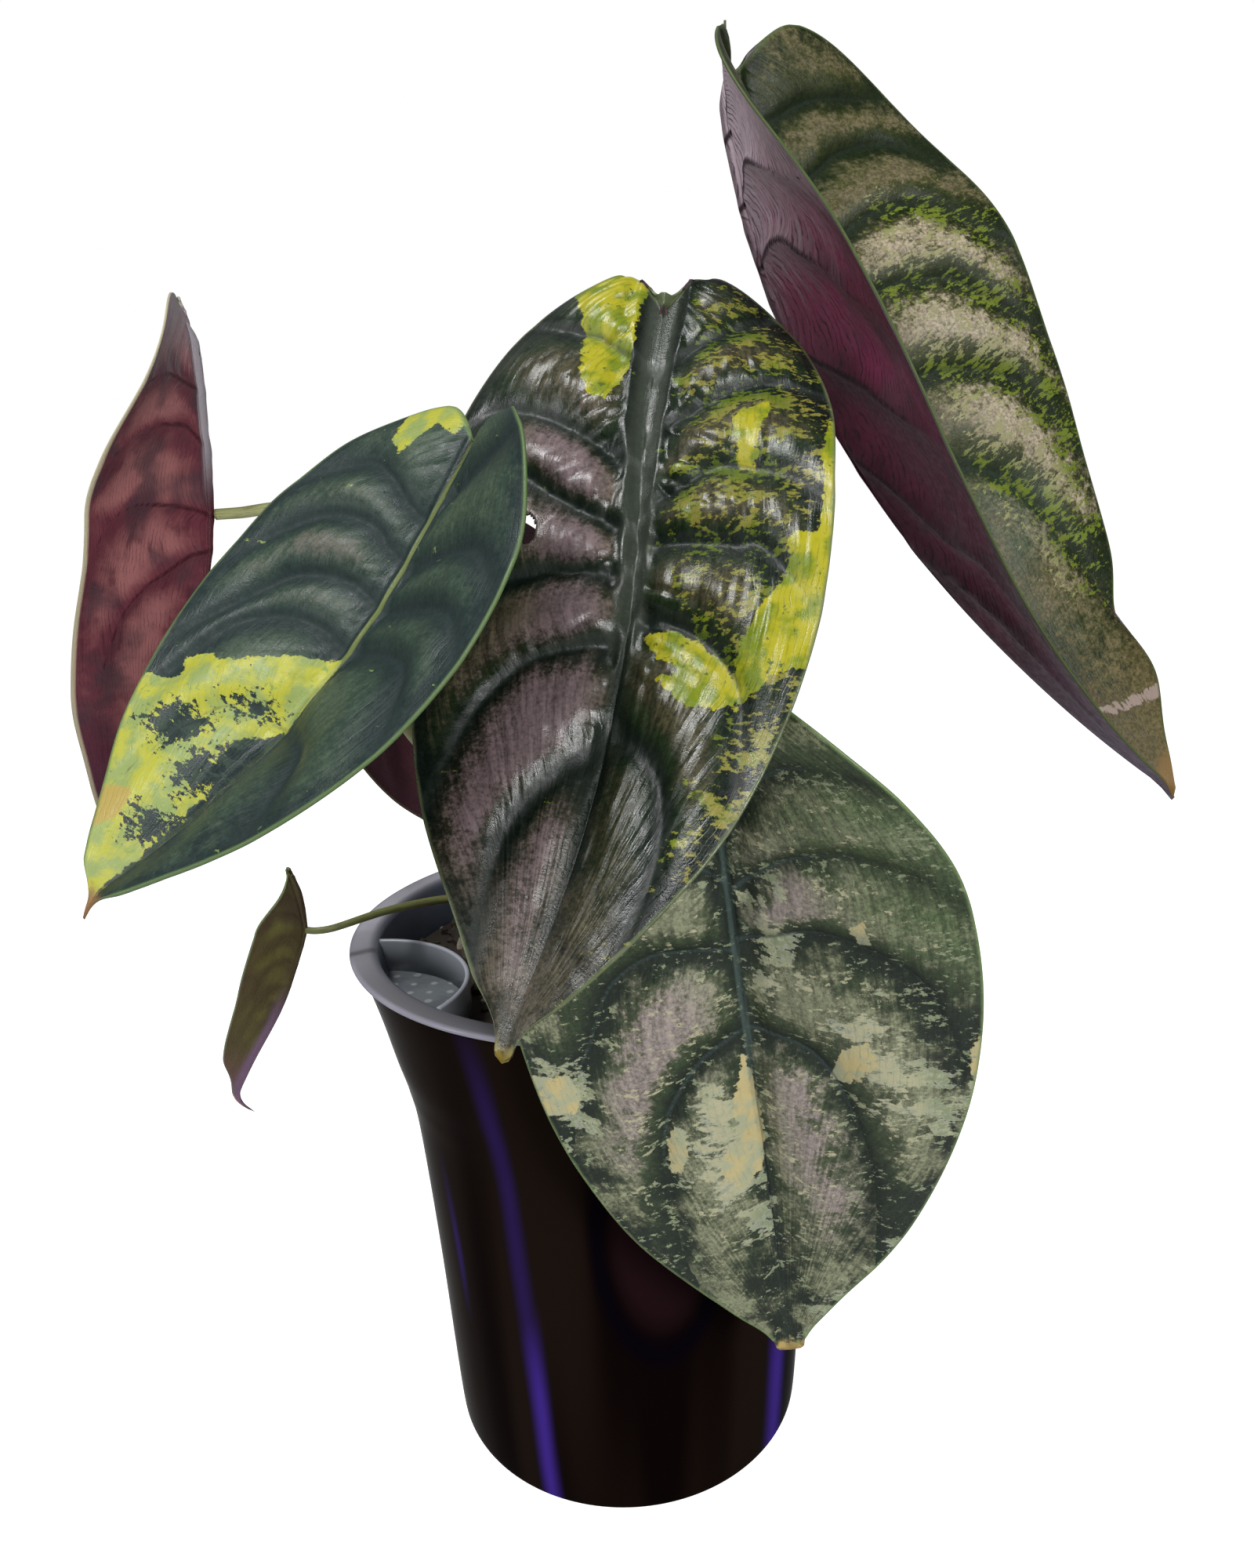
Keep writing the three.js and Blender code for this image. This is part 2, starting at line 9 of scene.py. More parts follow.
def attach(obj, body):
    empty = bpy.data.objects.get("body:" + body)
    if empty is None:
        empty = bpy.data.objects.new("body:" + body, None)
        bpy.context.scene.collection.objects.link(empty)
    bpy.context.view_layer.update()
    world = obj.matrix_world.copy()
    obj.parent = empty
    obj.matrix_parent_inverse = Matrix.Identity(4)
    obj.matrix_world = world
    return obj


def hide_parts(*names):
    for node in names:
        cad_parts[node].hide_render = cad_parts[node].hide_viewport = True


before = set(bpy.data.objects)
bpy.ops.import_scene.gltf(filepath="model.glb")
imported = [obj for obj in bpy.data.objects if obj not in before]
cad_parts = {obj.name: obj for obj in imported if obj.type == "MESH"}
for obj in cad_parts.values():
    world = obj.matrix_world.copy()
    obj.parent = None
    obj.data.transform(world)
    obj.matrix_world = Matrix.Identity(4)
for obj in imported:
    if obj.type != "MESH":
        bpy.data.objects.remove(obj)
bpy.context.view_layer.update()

MM = 0.001
TAU = 2 * math.pi

# ---- The seven leaves, in millimetres, with the same values as the solids ----
BLADE_HALF = 0.4
RIB_DEPTH = 0.7  # on a blade 160 long
STALK_GAP = 0.3  # between the rib and the end of its stalk
STALK_FOOT = 128.3
VEIN_ROWS = np.array([
    (0.00, 0.055, 0.055, 0.00, 0.055), (0.30, 0.000, 0.100, 0.09, 0.030),
    (0.74, 0.085, 0.165, 0.36, 0.070), (0.95, 0.230, 0.235, 0.52, 0.135),
    (1.00, 0.400, 0.315, 0.62, 0.235), (0.91, 0.585, 0.395, 0.74, 0.340),
    (0.67, 0.765, 0.485, 0.80, 0.460), (0.31, 0.905, 0.600, 0.55, 0.620),
    (0.00, 1.000, 1.000, 0.00, 1.000),
])  # margin across, margin down, root down, bow across, bow down
TIP_VEIN = len(VEIN_ROWS) - 1

LEAVES = {
    "upper_right": dict(
        attach=(45.8, -22.8, 293), heading=63.1, droop=63.9, roll=10, length=200, width=107.6,
        lobe=0.34, full=0.915, lean=0.012, arch=(-42.8, 5.3, -74), bend=(25, 12),
        twist=(-8.3, 8.8), left=(31.5, 47.7, 33.3), right=(30.4, 54.4, 32),
        curl=(-12.7, -12.9), puff=3.0,
        swells=((-1, 1.1, 0.8, 0, 8), (1, 6.38, 0.22, -4, 0), (1, 7.0, 0.3, 3, 0)),
        stalk=dict(foot=(8, 3), radius=(2.6, 1.5), via=((10.5, 5, 190), (17, 2, 252)),
                   start=(-14, 11, -8.6), lead=20)),
    "centre": dict(
        attach=(9.5, -75.6, 256.6), heading=-9.2, droop=58.2, roll=3.6, length=160, width=79.8,
        lobe=0.382, full=1.056, lean=-0.082, arch=(-23.5, -3, 22.5), bend=(-29, 13.4),
        twist=(4.3, 0.8), left=(-3.9, 5.1, 23.4), right=(-11, 17.8, 17.2),
        curl=(-15.8, -13.7), puff=3.0, swells=(),
        stalk=dict(foot=(1, -4), radius=(2.6, 1.5), via=((1.5, -10, 180), (4, -28, 222)),
                   start=(4, 18, -13), lead=22)),
    "left": dict(
        attach=(-30.9, -85.1, 252.8), heading=-50.3, droop=52.2, roll=-3.8, length=111.7,
        width=74.9, lobe=0.28, full=1.026, lean=-0.025, arch=(-44.4, 7.8, -9.4),
        bend=(-8.2, 10.4), twist=(-11.8, 1.6), left=(13.7, 22.3, 22.7), right=(22.2, 13, 18.8),
        curl=(-4.5, -9.5), puff=2.4, swells=(),
        stalk=dict(foot=(-6, -7), radius=(2.4, 1.4), start=(-8, 9, -15), lead=17,
                   via=((-10, -15, 168), (-27, -35, 194), (-40, -58, 219)))),
    "far_left": dict(
        attach=(-103.7, 24.3, 259.8), heading=-98.9, droop=82.5, roll=-12.8, length=154.8,
        width=82.8, lobe=0.368, full=0.991, lean=0.016, arch=(-57.8, 8.9, -53.8), bend=(9.6, 19),
        twist=(13.4, 2.2), left=(21.6, 24, 34.9), right=(3.7, 34.1, 45),
        curl=(-17.8, -16.9), puff=1.3, swells=(),
        stalk=dict(foot=(-5, 6), radius=(2.5, 1.5), via=((-12, 9, 190), (-40, 16, 244)),
                   start=(30, -1, 1), lead=24)),
    "front_right": dict(
        attach=(24.8, -81.7, 191.2), heading=-27.4, droop=104.6, roll=-7.7, length=167.7,
        width=95.9, lobe=0.243, full=1.045, lean=-0.004, arch=(-10.6, -10.7, 17.6),
        bend=(6.1, 3.4), twist=(-12.8, -3.6), left=(10, 20.4, 23.4), right=(26, 10.6, 6.8),
        curl=(-6, -9.7), puff=3.9, swells=(),
        stalk=dict(foot=(8, -6), radius=(2.5, 1.5), via=((11, -17, 172), (19, -42, 190)),
                   start=(5, 13, 2), lead=14)),
    "young": dict(
        attach=(-77.4, -21.1, 157.7), heading=-87.7, droop=73, roll=8.4, length=69.1, width=29,
        lobe=0.252, full=0.985, lean=0.004, arch=(-23, 9, -47.4), bend=(17, 2.5),
        twist=(10, 1.7), left=(51.2, 36, 25.5), right=(37.9, 40.3, 35.3),
        curl=(-12.7, -10.6), puff=0.4, swells=(),
        stalk=dict(foot=(-10, -1), radius=(1.5, 0.9), start=(10, 2, 0.2), lead=5,
                   via=((-15, -1.5, 151.5), (-27, -3, 157.8), (-43.6, -5, 158.5),
                        (-58, -13, 158.9)), meet=1.2)),
    "back": dict(
        attach=(-44, 44.9, 228.4), heading=183.5, droop=80.3, roll=-8.5, length=104.7,
        width=80.9, lobe=0.274, full=0.952, lean=0.026, arch=(20.4, 14.9, 15.1),
        bend=(-20.3, 1.8), twist=(-1.5, -1.9), left=(20, 18, 18), right=(20, 17.5, 8.3),
        curl=(-10, -12), puff=1.6, swells=(),
        stalk=dict(foot=(1, 9), radius=(2.3, 1.4), via=((-2, 13, 180), (-20, 19, 216)),
                   start=(8, -24, -6), lead=16)),
}

# Main veins of each half, notch to tip, as (across, down) points from the midrib outwards, in
# hundredths: across is a share of half the width and down a share of the length.
EVEN_VEINS = [
    [(0, 10), (9, 5), (30, 0)],
    [(0, 16.5), (33, 8), (74, 8.5)],
    [(0, 23.5), (25, 18), (60, 16.5), (93, 23)],
    [(0, 31.5), (30, 27), (70, 30), (97, 40)],
    [(0, 39.5), (35, 37), (70, 43), (91, 58.5)],
    [(0, 48.5), (35, 49), (62, 60), (66, 76.5)],
    [(0, 60), (24, 65), (38, 76), (31, 90.5)],
]
VEIN_LINES = {
    "centre": {
        -1: [[(0, 16), (28, 11), (55, 8)],
             [(0, 30), (10, 28.8), (32, 24.7), (56, 21.4), (80, 20), (95, 22)],
             [(0, 38.5), (9, 37.4), (24, 35.7), (40, 33.3), (66, 30), (97, 36)],
             [(0, 44), (26, 43.3), (44, 43.3), (70, 46), (93, 56)],
             [(0, 52.5), (21, 53.4), (45, 56.4), (62, 63.2), (68, 75)],
             [(0, 64.5), (18, 69.5), (30, 76.1), (31, 82.8), (25, 91)]],
        1: [[(0, 17), (24, 12), (48, 7)],
            [(0, 26), (16, 23.5), (37, 20.3), (58, 18.7), (90, 22)],
            [(0, 35.5), (21, 33.4), (38, 31.4), (55, 32.7), (75, 35), (98, 40)],
            [(0, 40.5), (26, 41), (48, 42.1), (63, 43), (95, 53)],
            [(0, 49.5), (19, 50.3), (35, 52.3), (49, 55.6), (60, 61), (66, 76)],
            [(0, 62.5), (22, 66.3), (32, 70.4), (38, 77), (36, 88)]],
    },
    "front_right": {
        -1: [[(0, 16), (33, 8), (74, 8.5)],
             [(0, 25), (25, 20), (60, 19), (94, 26)],
             [(0, 34.7), (21, 33.8), (39, 34.2), (56, 37.8), (67, 44.4), (77, 50.5), (85, 61)],
             [(0, 46.5), (19, 49.7), (33, 54.2), (42, 59), (46, 66), (45, 78), (40, 86)]],
        1: [[(0, 16), (33, 8), (74, 8.5)],
            [(0, 26.2), (19, 22), (34, 19.8), (60, 19), (93, 24)],
            [(0, 33.1), (19, 31.5), (38, 30.3), (64, 33.2), (80, 38), (92, 50)],
            [(0, 46.2), (21, 47.8), (33, 50.7), (42, 57), (49, 67.3), (48, 77), (44, 86)]],
    },
    "left": {
        -1: [[(0, 21), (17, 18.8), (36, 14.9), (58, 13.6), (90, 19)],
             [(0, 28.5), (13, 27.1), (28, 24.2), (51, 24.2), (74, 28.1), (97, 38)],
             [(0, 37.2), (20, 34.7), (43, 35.4), (62, 40), (86, 56)],
             [(0, 45.9), (24, 43.8), (47, 45.1), (66, 52), (75, 68)],
             [(0, 61), (25, 62), (42, 70), (42, 84)]],
        1: [[(0, 17), (30, 11), (60, 7)],
            [(0, 30), (28, 27.5), (48, 26.3), (69, 26.9), (95, 33)],
            [(0, 37.5), (16, 37), (51, 36.1), (76, 38), (98, 45)],
            [(0, 45.5), (23, 44.9), (47, 45), (67, 47.6), (86, 59)],
            [(0, 61), (23, 62.6), (42, 66), (58, 78)]],
    },
    "far_left": {
        1: [[(0, 16.5), (24, 14.3), (40, 13.1), (60, 12.7), (81, 13.7)],
            [(0, 26.5), (17, 22.2), (35, 21.3), (54, 21.4), (75, 22.7), (95, 27)],
            [(0, 37.2), (13, 36), (31, 35.2), (45, 35), (64, 35.1), (84, 38.1), (96, 44)],
            [(0, 43), (16, 44.1), (33, 46.9), (49, 50.1), (62, 55.1), (64, 60.8), (62, 67.3),
             (53, 77.1)]],
    },
    "upper_right": {
        1: [[(0, 12), (18, 10), (35, 8.2), (60, 8)],
            [(0, 21), (29, 16.9), (44, 14.7), (66, 14.3), (93, 19)],
            [(0, 29), (35, 24.5), (54, 23.2), (73, 24.4), (97, 34)],
            [(0, 34.5), (40, 32.6), (55, 33.6), (70, 35.7), (95, 46)],
            [(0, 42), (41, 44.1), (60, 46.6), (75, 51.5), (86, 64)],
            [(0, 50), (37, 56.4), (52, 63), (56, 74), (50, 83)]],
        -1: [[(0, 12), (25, 7), (50, 5)],
             [(0, 19), (24, 16.5), (46, 18.5), (88, 25)],
             [(0, 25.5), (19, 24.6), (40, 26.6), (57, 31.1), (89, 40)],
             [(0, 34.1), (28, 40.3), (55, 46.2), (86, 53)],
             [(0, 46), (18, 54), (34, 61), (54, 65.2), (62, 73)],
             [(0, 60), (20, 68), (30, 78), (25, 90)]],
    },
}

# Markings as outlines on the flat blade, in the same shares: across is under 0 on the left half.
# The sheen outlines are where the painted sheen takes its own colour and shows most.
MARKS = {
    "centre": {
        "gold": [
            [(-49, 2), (-33, -1), (-19, -1), (-8, 2), (-11, 5), (-12, 15), (-20, 21), (-30, 20),
             (-36, 16), (-40, 8)],
            [(86, 26), (100, 28), (102, 43), (86, 44), (87, 36)],
            [(74, 42), (98, 42), (96, 50), (86, 56), (69, 58), (57, 61), (54, 56), (62, 50),
             (72, 47)],
            [(8, 52), (22, 51), (35, 53), (50, 56), (59, 59), (53, 61), (36, 61), (20, 58),
             (29, 57), (17, 55)],
            [(43, 25), (60, 23), (57, 29), (56, 33), (48, 32)],
        ],
        "marble": [
            [(10, 5), (34, 0), (62, 5), (85, 15), (100, 30), (102, 45), (95, 60), (84, 70),
             (60, 82), (38, 91), (41, 78), (43, 71), (46, 65), (40, 61), (28, 50), (13, 43),
             (18, 35), (13, 25)],
            [(80, 71), (60, 73), (40, 83), (22, 90), (4, 97), (5, 100), (35, 93), (70, 80)],
        ],
        "sheen": [
            [(-67, 20), (-30, 21), (-11, 29), (-7, 40), (-3, 53), (-3, 64), (-27, 76), (-30, 88),
             (-57, 82), (-80, 72), (-70, 60), (-48, 50), (-53, 40), (-60, 30)],
            [(-1, 65), (2, 71), (-1, 82), (1, 96), (-13, 93), (-29, 85), (-30, 76), (-16, 69)],
        ],
    },
    "front_right": {
        "gold": [
            [(-3, 50), (0, 54), (2, 62), (-1, 69), (-12, 71), (-19, 68), (-18, 65), (-9, 63),
             (-10, 57)],
            [(-38, 59), (-33, 60), (-33, 64), (-39, 67), (-44, 67), (-43, 62)],
            [(42, 47), (54, 45), (57, 49), (44, 53), (35, 53)],
            [(-100, 49), (-82, 49), (-76, 52), (-80, 55), (-97, 55)],
            [(50, 28), (57, 27), (58, 31), (52, 31)],
            [(94, 46), (100, 44), (100, 58), (93, 57)],
        ],
        "marble": [
            [(33, 44), (60, 38), (70, 44), (85, 48), (96, 55), (85, 62), (59, 58), (51, 54),
             (50, 49)],
            [(-36, 57), (-10, 50), (0, 62), (3, 73), (2, 84), (-9, 83), (-21, 74), (-38, 69)],
            [(-98, 45), (-72, 47), (-70, 58), (-90, 60)],
            [(4, 26), (24, 25), (30, 32), (28, 40), (5, 42)],
            [(10, 92), (30, 86), (60, 78), (70, 82), (30, 95), (0, 100)],
        ],
        "sheen": [
            [(-60, 37), (-27, 36), (-12, 40), (-12, 48), (-35, 55), (-52, 66), (-66, 62),
             (-66, 47)],
            [(5, 46), (32, 50), (42, 60), (46, 76), (25, 80), (10, 67)],
            [(6, 22), (40, 20), (44, 27), (30, 30), (5, 31)],
        ],
        "plain": [
            [(43, 2), (75, 5), (100, 17), (105, 38), (78, 31), (59, 27), (44, 22), (23, 13)],
        ],
    },
    "left": {
        "gold": [
            [(-54, 4), (-41, -1), (-16, -2), (-8, 2), (-13, 5), (-27, 4), (-29, 6), (-30, 8),
             (-36, 11), (-46, 9)],
            [(-72, 60), (-58, 57), (-52, 58), (-30, 53), (0, 47), (1, 55), (0, 61), (-14, 68),
             (-3, 76), (-2, 88), (0, 100), (-35, 98), (-62, 88), (-95, 72), (-80, 67), (-62, 64)],
        ],
        "dark": [
            [(-62, 74), (-53, 68), (-30, 66), (-25, 70), (-37, 75)],
            [(-37, 63), (-21, 59.5), (-5, 59), (-12, 62.5), (-30, 64)],
            [(-24, 74), (-12, 68), (0, 63), (0, 73), (-8, 78), (-22, 78)],
            [(-26, 85), (-12, 82), (0, 80), (0, 86), (-14, 88)],
        ],
        "marble": [
            [(-72, 58), (0, 46), (3, 100), (-50, 92)],
            [(0, 80), (12, 80), (12, 98), (0, 100)],
        ],
        "sheen": [
            [(-84, 41), (-74, 31), (-72, 22), (-33, 16), (-2, 19), (-5, 30), (-3, 40), (-33, 47)],
        ],
        "peach": [
            [(-50, 86), (-30, 83), (-23, 87), (-30, 91), (-46, 92)],
        ],
    },
    "upper_right": {
        "marble": [
            [(47, 20), (75, 21), (102, 28), (105, 40), (100, 52), (92, 64), (75, 74), (52, 82),
             (30, 78), (30, 60), (35, 48), (32, 35), (35, 27)],
        ],
        "sheen": [
            [(35, 25), (60, 22), (95, 30), (100, 50), (95, 62), (70, 74), (45, 76), (40, 66),
             (45, 50), (35, 36)],
        ],
        "plain": [
            [(30, 57), (55, 62), (50, 70), (30, 68)],
        ],
        "peach": [
            [(4, 86.8), (22, 89.6), (42, 92.5), (40, 94), (20, 90.8), (4, 88.2)],
        ],
    },
}

# How each blade is finished, in millimetres: shoulder is the share of the half over which the
# blisters rise from the midrib, band the half-width between the two ribs behind the stalk, nub
# the half-width of a blunt tip, and narrow where the tip thins and by how much. Tip and horn
# move the two ends, hook is how late the tip turns, rise where the horn starts and how fast it
# goes, sway moves the lower part and pinch is how much the lobes narrow. Each spike moves a spot
# of the margin (half, vein, reach, shift and 1 for a sharp point or 2 for a round one).
PLAIN_FINISH = dict(rib_end=1.0, nub=0.0, narrow=(0.95, 0.3), tip=(0, 0, 0), horn=(0, 0, 0),
                    pinch=0.0, hook=2, rise=(0.35, 1.5), sway=(0, 0, 0), spikes=())
FINISH = {
    "upper_right": dict(PLAIN_FINISH, groove=0.1, pucker=0.3, shoulder=0.2, band=2.0, nub=2.2,
                        narrow=(0.96, 0.0), tip=(-1.2, -0.5, -1.2),
                        spikes=((-1, 0.34, 0.28, (0.4, 0, 7.0), 1.0),)),
    "centre": dict(PLAIN_FINISH, groove=0.3, pucker=1.6, shoulder=0.07, band=4.6, rib_end=0.6,
                   nub=1.9, narrow=(0.93, 0.35), tip=(1.0, 0.0, -0.6),
                   spikes=((-1, 0.0, 0.14, (0, 0, 1.8), 2), (1, 0.0, 0.14, (0, 0, 1.8), 2))),
    "left": dict(PLAIN_FINISH, groove=0.05, pucker=0.45, shoulder=0.1, band=0.9, rib_end=0.55,
                 narrow=(0.945, 0.75), tip=(1.4, 0.0, -1.6),
                 spikes=((1, 0.55, 0.55, (1.0, 0, -3.6), 2),)),
    "far_left": dict(PLAIN_FINISH, groove=0.15, pucker=0.15, shoulder=0.3, band=1.5,
                     horn=(4.5, 0, -2.0)),
    "front_right": dict(PLAIN_FINISH, groove=-0.3, pucker=0.55, shoulder=0.08, band=2.5, nub=2.6,
                        narrow=(0.96, 0.0)),
    "young": dict(PLAIN_FINISH, groove=0.05, pucker=0.1, shoulder=0.12, band=0.8, nub=1.3,
                  narrow=(0.8, 0.45), tip=(6.4, 0.0, -1.8), horn=(-5.2, 0, -0.6), pinch=0.82,
                  hook=8, rise=(0.0, 1.1), sway=(-1.8, 0, 0)),
    "back": dict(PLAIN_FINISH, groove=0.2, pucker=0.2, shoulder=0.2, band=1.5),
}
BITE = dict(leaf="centre", across=-0.53, down=0.380, wide=2.5, tall=3.7)


def ease(u):
    return u * u * (3 - 2 * u)


def ramp(value, start=0, reach=1):
    """0 up to the start, rising smoothly to 1 a reach further."""
    return ease(np.clip((value - start) / reach, 0, 1))


def hump(off, width):
    """1 at no distance, falling away over the width."""
    return np.exp(-((off / width) ** 2))


def smooth_read(values, at):
    """Reads between evenly spaced values, on the smooth curve through them."""
    last = len(values) - 1
    at = np.clip(at, 0, last)
    i = np.minimum(at.astype(int), last - 1)
    u = at - i
    p1, p2 = values[i], values[i + 1]
    p0 = np.where(i > 0, values[np.maximum(i - 1, 0)], 2 * p1 - p2)
    p3 = np.where(i < last - 1, values[np.minimum(i + 2, last)], 2 * p2 - p1)
    return 0.5 * (2 * p1 + (p2 - p0) * u + (2 * p0 - 5 * p1 + 4 * p2 - p3) * u * u
                  + (3 * p1 - p0 - 3 * p2 + p3) * u ** 3)


def smooth_line(points, count):
    """A number of points on the smooth line through the given ones."""
    points = np.array(points, float)
    at = np.linspace(0, len(points) - 1, count)
    return np.stack([smooth_read(column, at) for column in points.T], -1)


def read_line(run, points, at):
    """Reads a chain of points, each at its distance in run, at other distances."""
    return np.stack([np.interp(at, run, column) for column in points.T], -1)


def rolled(right, up, angle):
    """A sideways pair turned about the line that it stands on."""
    level, tilt = np.cos(angle), np.sin(angle)
    return right * level + up * tilt, up * level - right * tilt


def soft_noise(x, y, seed):
    """Smooth random hills of unit size, from 0 to 1."""
    table = np.random.RandomState(seed).rand(61, 67)
    xi, yi = np.floor(x).astype(int), np.floor(y).astype(int)
    u, v = ease(x - xi), ease(y - yi)
    pick = lambda a, b: table[a % 61, b % 67]
    near = pick(xi, yi) * (1 - u) + pick(xi + 1, yi) * u
    far = pick(xi, yi + 1) * (1 - u) + pick(xi + 1, yi + 1) * u
    return near * (1 - v) + far * v


def wobble(x, y, seed):
    return soft_noise(x, y, seed) - 0.5


def flat_point(leaf, vein, side, out):
    """The flat blade: vein runs from the notch (0) to the tip (8), out from midrib to margin."""
    edge, edge_down, root, bow, bow_down = (smooth_read(row, vein) for row in VEIN_ROWS.T)
    edge = np.maximum(edge, 0) ** leaf["full"]
    bow = np.maximum(bow, 0)
    a, b, c = (1 - out) ** 2, 2 * (1 - out) * out, out ** 2
    across = (b * bow + c * edge) * leaf["width"] / 2 * (1 + side * leaf["lean"])
    along = a * root + b * bow_down + c * edge_down
    for half, at, reach, wider, down in leaf["swells"]:
        push = np.where(side == half, hump(vein - at, reach) * c, 0)
        across = across + wider * push
        along = along + down * push / leaf["length"]
    return side * np.maximum(across, 0), (along - leaf["lobe"]) * leaf["length"]


def leaf_axes(leaf):
    """The way the tip points, the right side and the upper face."""
    h, d, r = (math.radians(leaf[key]) for key in ("heading", "droop", "roll"))
    tip = np.array([math.sin(h) * math.cos(d), -math.cos(h) * math.cos(d), -math.sin(d)])
    right = np.array([math.cos(h), math.sin(h), 0.0])
    return tip, *rolled(right, np.cross(tip, right), r)


def midrib_line(leaf, q):
    """Place, right and up along the midrib; q is 0 at the stalk, below 0 behind it."""
    axes = np.stack(leaf_axes(leaf))

    def turn(s):
        tip_pitch = leaf["arch"][0] * s + leaf["arch"][1] * s * s
        pitch = np.radians(np.where(s > 0, tip_pitch, leaf["arch"][2] * s))
        yaw = np.radians(np.where(s > 0, leaf["bend"][0], leaf["bend"][1]) * s)
        return pitch, yaw

    def tangent(s):
        pitch, yaw = turn(s)
        level = np.cos(pitch)
        return np.stack([level * np.cos(yaw), level * np.sin(yaw), -np.sin(pitch)], -1) @ axes

    steps = np.linspace(-leaf["lobe"], 1 - leaf["lobe"], 481)
    half = (steps[1] - steps[0]) / 2
    strides = tangent(steps[:-1] + half) * 2 * half * leaf["length"]
    walk = np.vstack([np.zeros(3), np.cumsum(strides, 0)])
    place = np.array(leaf["attach"]) + read_line(steps, walk, q) - read_line(steps, walk, [0.0])
    yaw = turn(q)[1]
    right = np.stack([-np.sin(yaw), np.cos(yaw), 0 * yaw], -1) @ axes
    twist = np.radians(leaf["twist"][0] * q + leaf["twist"][1] * q * np.abs(q))[..., None]
    return place, *rolled(right, np.cross(tangent(q), right), twist)


def raise_blade(leaf, across, along, side, relief):
    """Bends the flat blade into space, with the relief standing up from it."""
    q = along / leaf["length"]
    place, right, up = midrib_line(leaf, q)
    back, front = ramp(-q, 0, leaf["lobe"]), ramp(q, 0, 1 - leaf["lobe"])
    pick = lambda n: np.where(side > 0, leaf["right"][n], leaf["left"][n])
    fold = np.radians(pick(1) + (pick(0) - pick(1)) * back + (pick(2) - pick(1)) * front)
    curl = np.radians(np.where(side > 0, leaf["curl"][1], leaf["curl"][0]))
    half = leaf["width"] / 2
    reach = np.abs(across) / half
    sideways = (np.sin(fold + curl * reach) - np.sin(fold)) / curl * half
    lift = (np.cos(fold) - np.cos(fold + curl * reach)) / curl * half + relief
    return place + right * (side * sideways)[..., None] + up * lift[..., None]


def on_blade(leaf, points):
    """Points in hundredths, as millimetres on the flat blade from where the stalk meets it."""
    return (np.array(points) / 100 - (0, leaf["lobe"])) * (leaf["width"] / 2, leaf["length"])


def vein_paths(leaf_name, side):
    """Each main vein as close points in millimetres on the flat half, run past the margin."""
    leaf = LEAVES[leaf_name]
    paths = []
    for line in VEIN_LINES.get(leaf_name, {}).get(side, EVEN_VEINS):
        path = on_blade(leaf, smooth_line(line, 60))
        step = path[-1] - path[-3]
        step = step / np.linalg.norm(step)
        paths.append(np.vstack([path, path[-1] + step * np.arange(1, 15)[:, None]]))
    return paths


def read_veins(leaf_name, side, across, along):
    """For each point: a count that passes a whole number at each main vein, the distance to
    the nearest vein and the width of the blister it is on."""
    points = np.stack([np.abs(across), along], -1)
    gaps, signs = [], []
    for path in vein_paths(leaf_name, side):
        apart = points[:, None, :] - path[None, :, :]
        reach = np.hypot(apart[..., 0], apart[..., 1])
        nearest = reach.argmin(1)
        gaps.append(reach.min(1))
        run = np.gradient(path, axis=0)[nearest]
        off = apart[np.arange(len(points)), nearest]
        signs.append(run[:, 0] * off[:, 1] - run[:, 1] * off[:, 0] > 0)
    gaps, signs = np.stack(gaps, 1), np.stack(signs, 1)
    count = len(gaps[0])
    passed = np.where(signs.any(1), count - signs[:, ::-1].argmax(1), 0)
    far = np.full(len(points), 13.0)
    rows = np.arange(len(points))
    above = np.where(passed > 0, gaps[rows, np.maximum(passed - 1, 0)], far)
    below = np.where(passed < count, gaps[rows, np.minimum(passed, count - 1)], far)
    return passed + above / (above + below + 1e-6), gaps.min(1), above + below


def inside_outline(leaf, outline, across, along):
    """How far each point lies inside an outline on the flat blade, in millimetres."""
    corners = on_blade(leaf, outline)
    inside = np.zeros(len(across), bool)
    nearest = np.full(len(across), 1e9)
    for (x0, y0), (x1, y1) in zip(corners, np.roll(corners, -1, 0)):
        crosses = (y0 > along) != (y1 > along)
        level = np.where(crosses, (along - y0) / (y1 - y0 if y1 != y0 else 1e-9), 0)
        inside ^= crosses & (across < x0 + level * (x1 - x0))
        dx, dy = x1 - x0, y1 - y0
        t = np.clip(((across - x0) * dx + (along - y0) * dy) / (dx * dx + dy * dy), 0, 1)
        nearest = np.minimum(nearest, np.hypot(across - x0 - t * dx, along - y0 - t * dy))
    return np.where(inside, nearest, -nearest)


def marking(leaf_name, kind, soft, across, along):
    """A marking's strength at each point: 0.5 on its outline, 1 well inside it."""
    strength = np.zeros(len(across))
    for outline in MARKS.get(leaf_name, {}).get(kind, ()):
        depth = inside_outline(LEAVES[leaf_name], outline, across, along)
        strength = np.maximum(strength, np.clip(0.5 + depth / soft, 0, 1))
    return strength


def outline_point(leaf_name, vein, side, out):
    """The flat blade with its finish, and how far each point lies down the blade, into the tip
    and behind the stalk."""
    leaf, finish = LEAVES[leaf_name], FINISH[leaf_name]
    across, along = flat_point(leaf, vein, side, out)
    down = along / leaf["length"] + leaf["lobe"]
    start, narrow = finish["narrow"]
    near_tip = np.clip((down - start) / (1 - start), 0, 1)
    across = across * (1 - narrow * ramp(near_tip * 1.5))
    edge_across = np.abs(flat_point(leaf, vein, side, np.ones_like(out))[0])
    nub = finish["nub"] * ramp(down, 0.94, 0.04)
    across = across * np.sqrt(1 + (nub / (edge_across + 0.05)) ** 2)
    behind = np.clip(-along / (leaf["lobe"] * leaf["length"]), 0, 1)
    return across * (1 - finish["pinch"] * ease(behind)), along, down, near_tip, behind


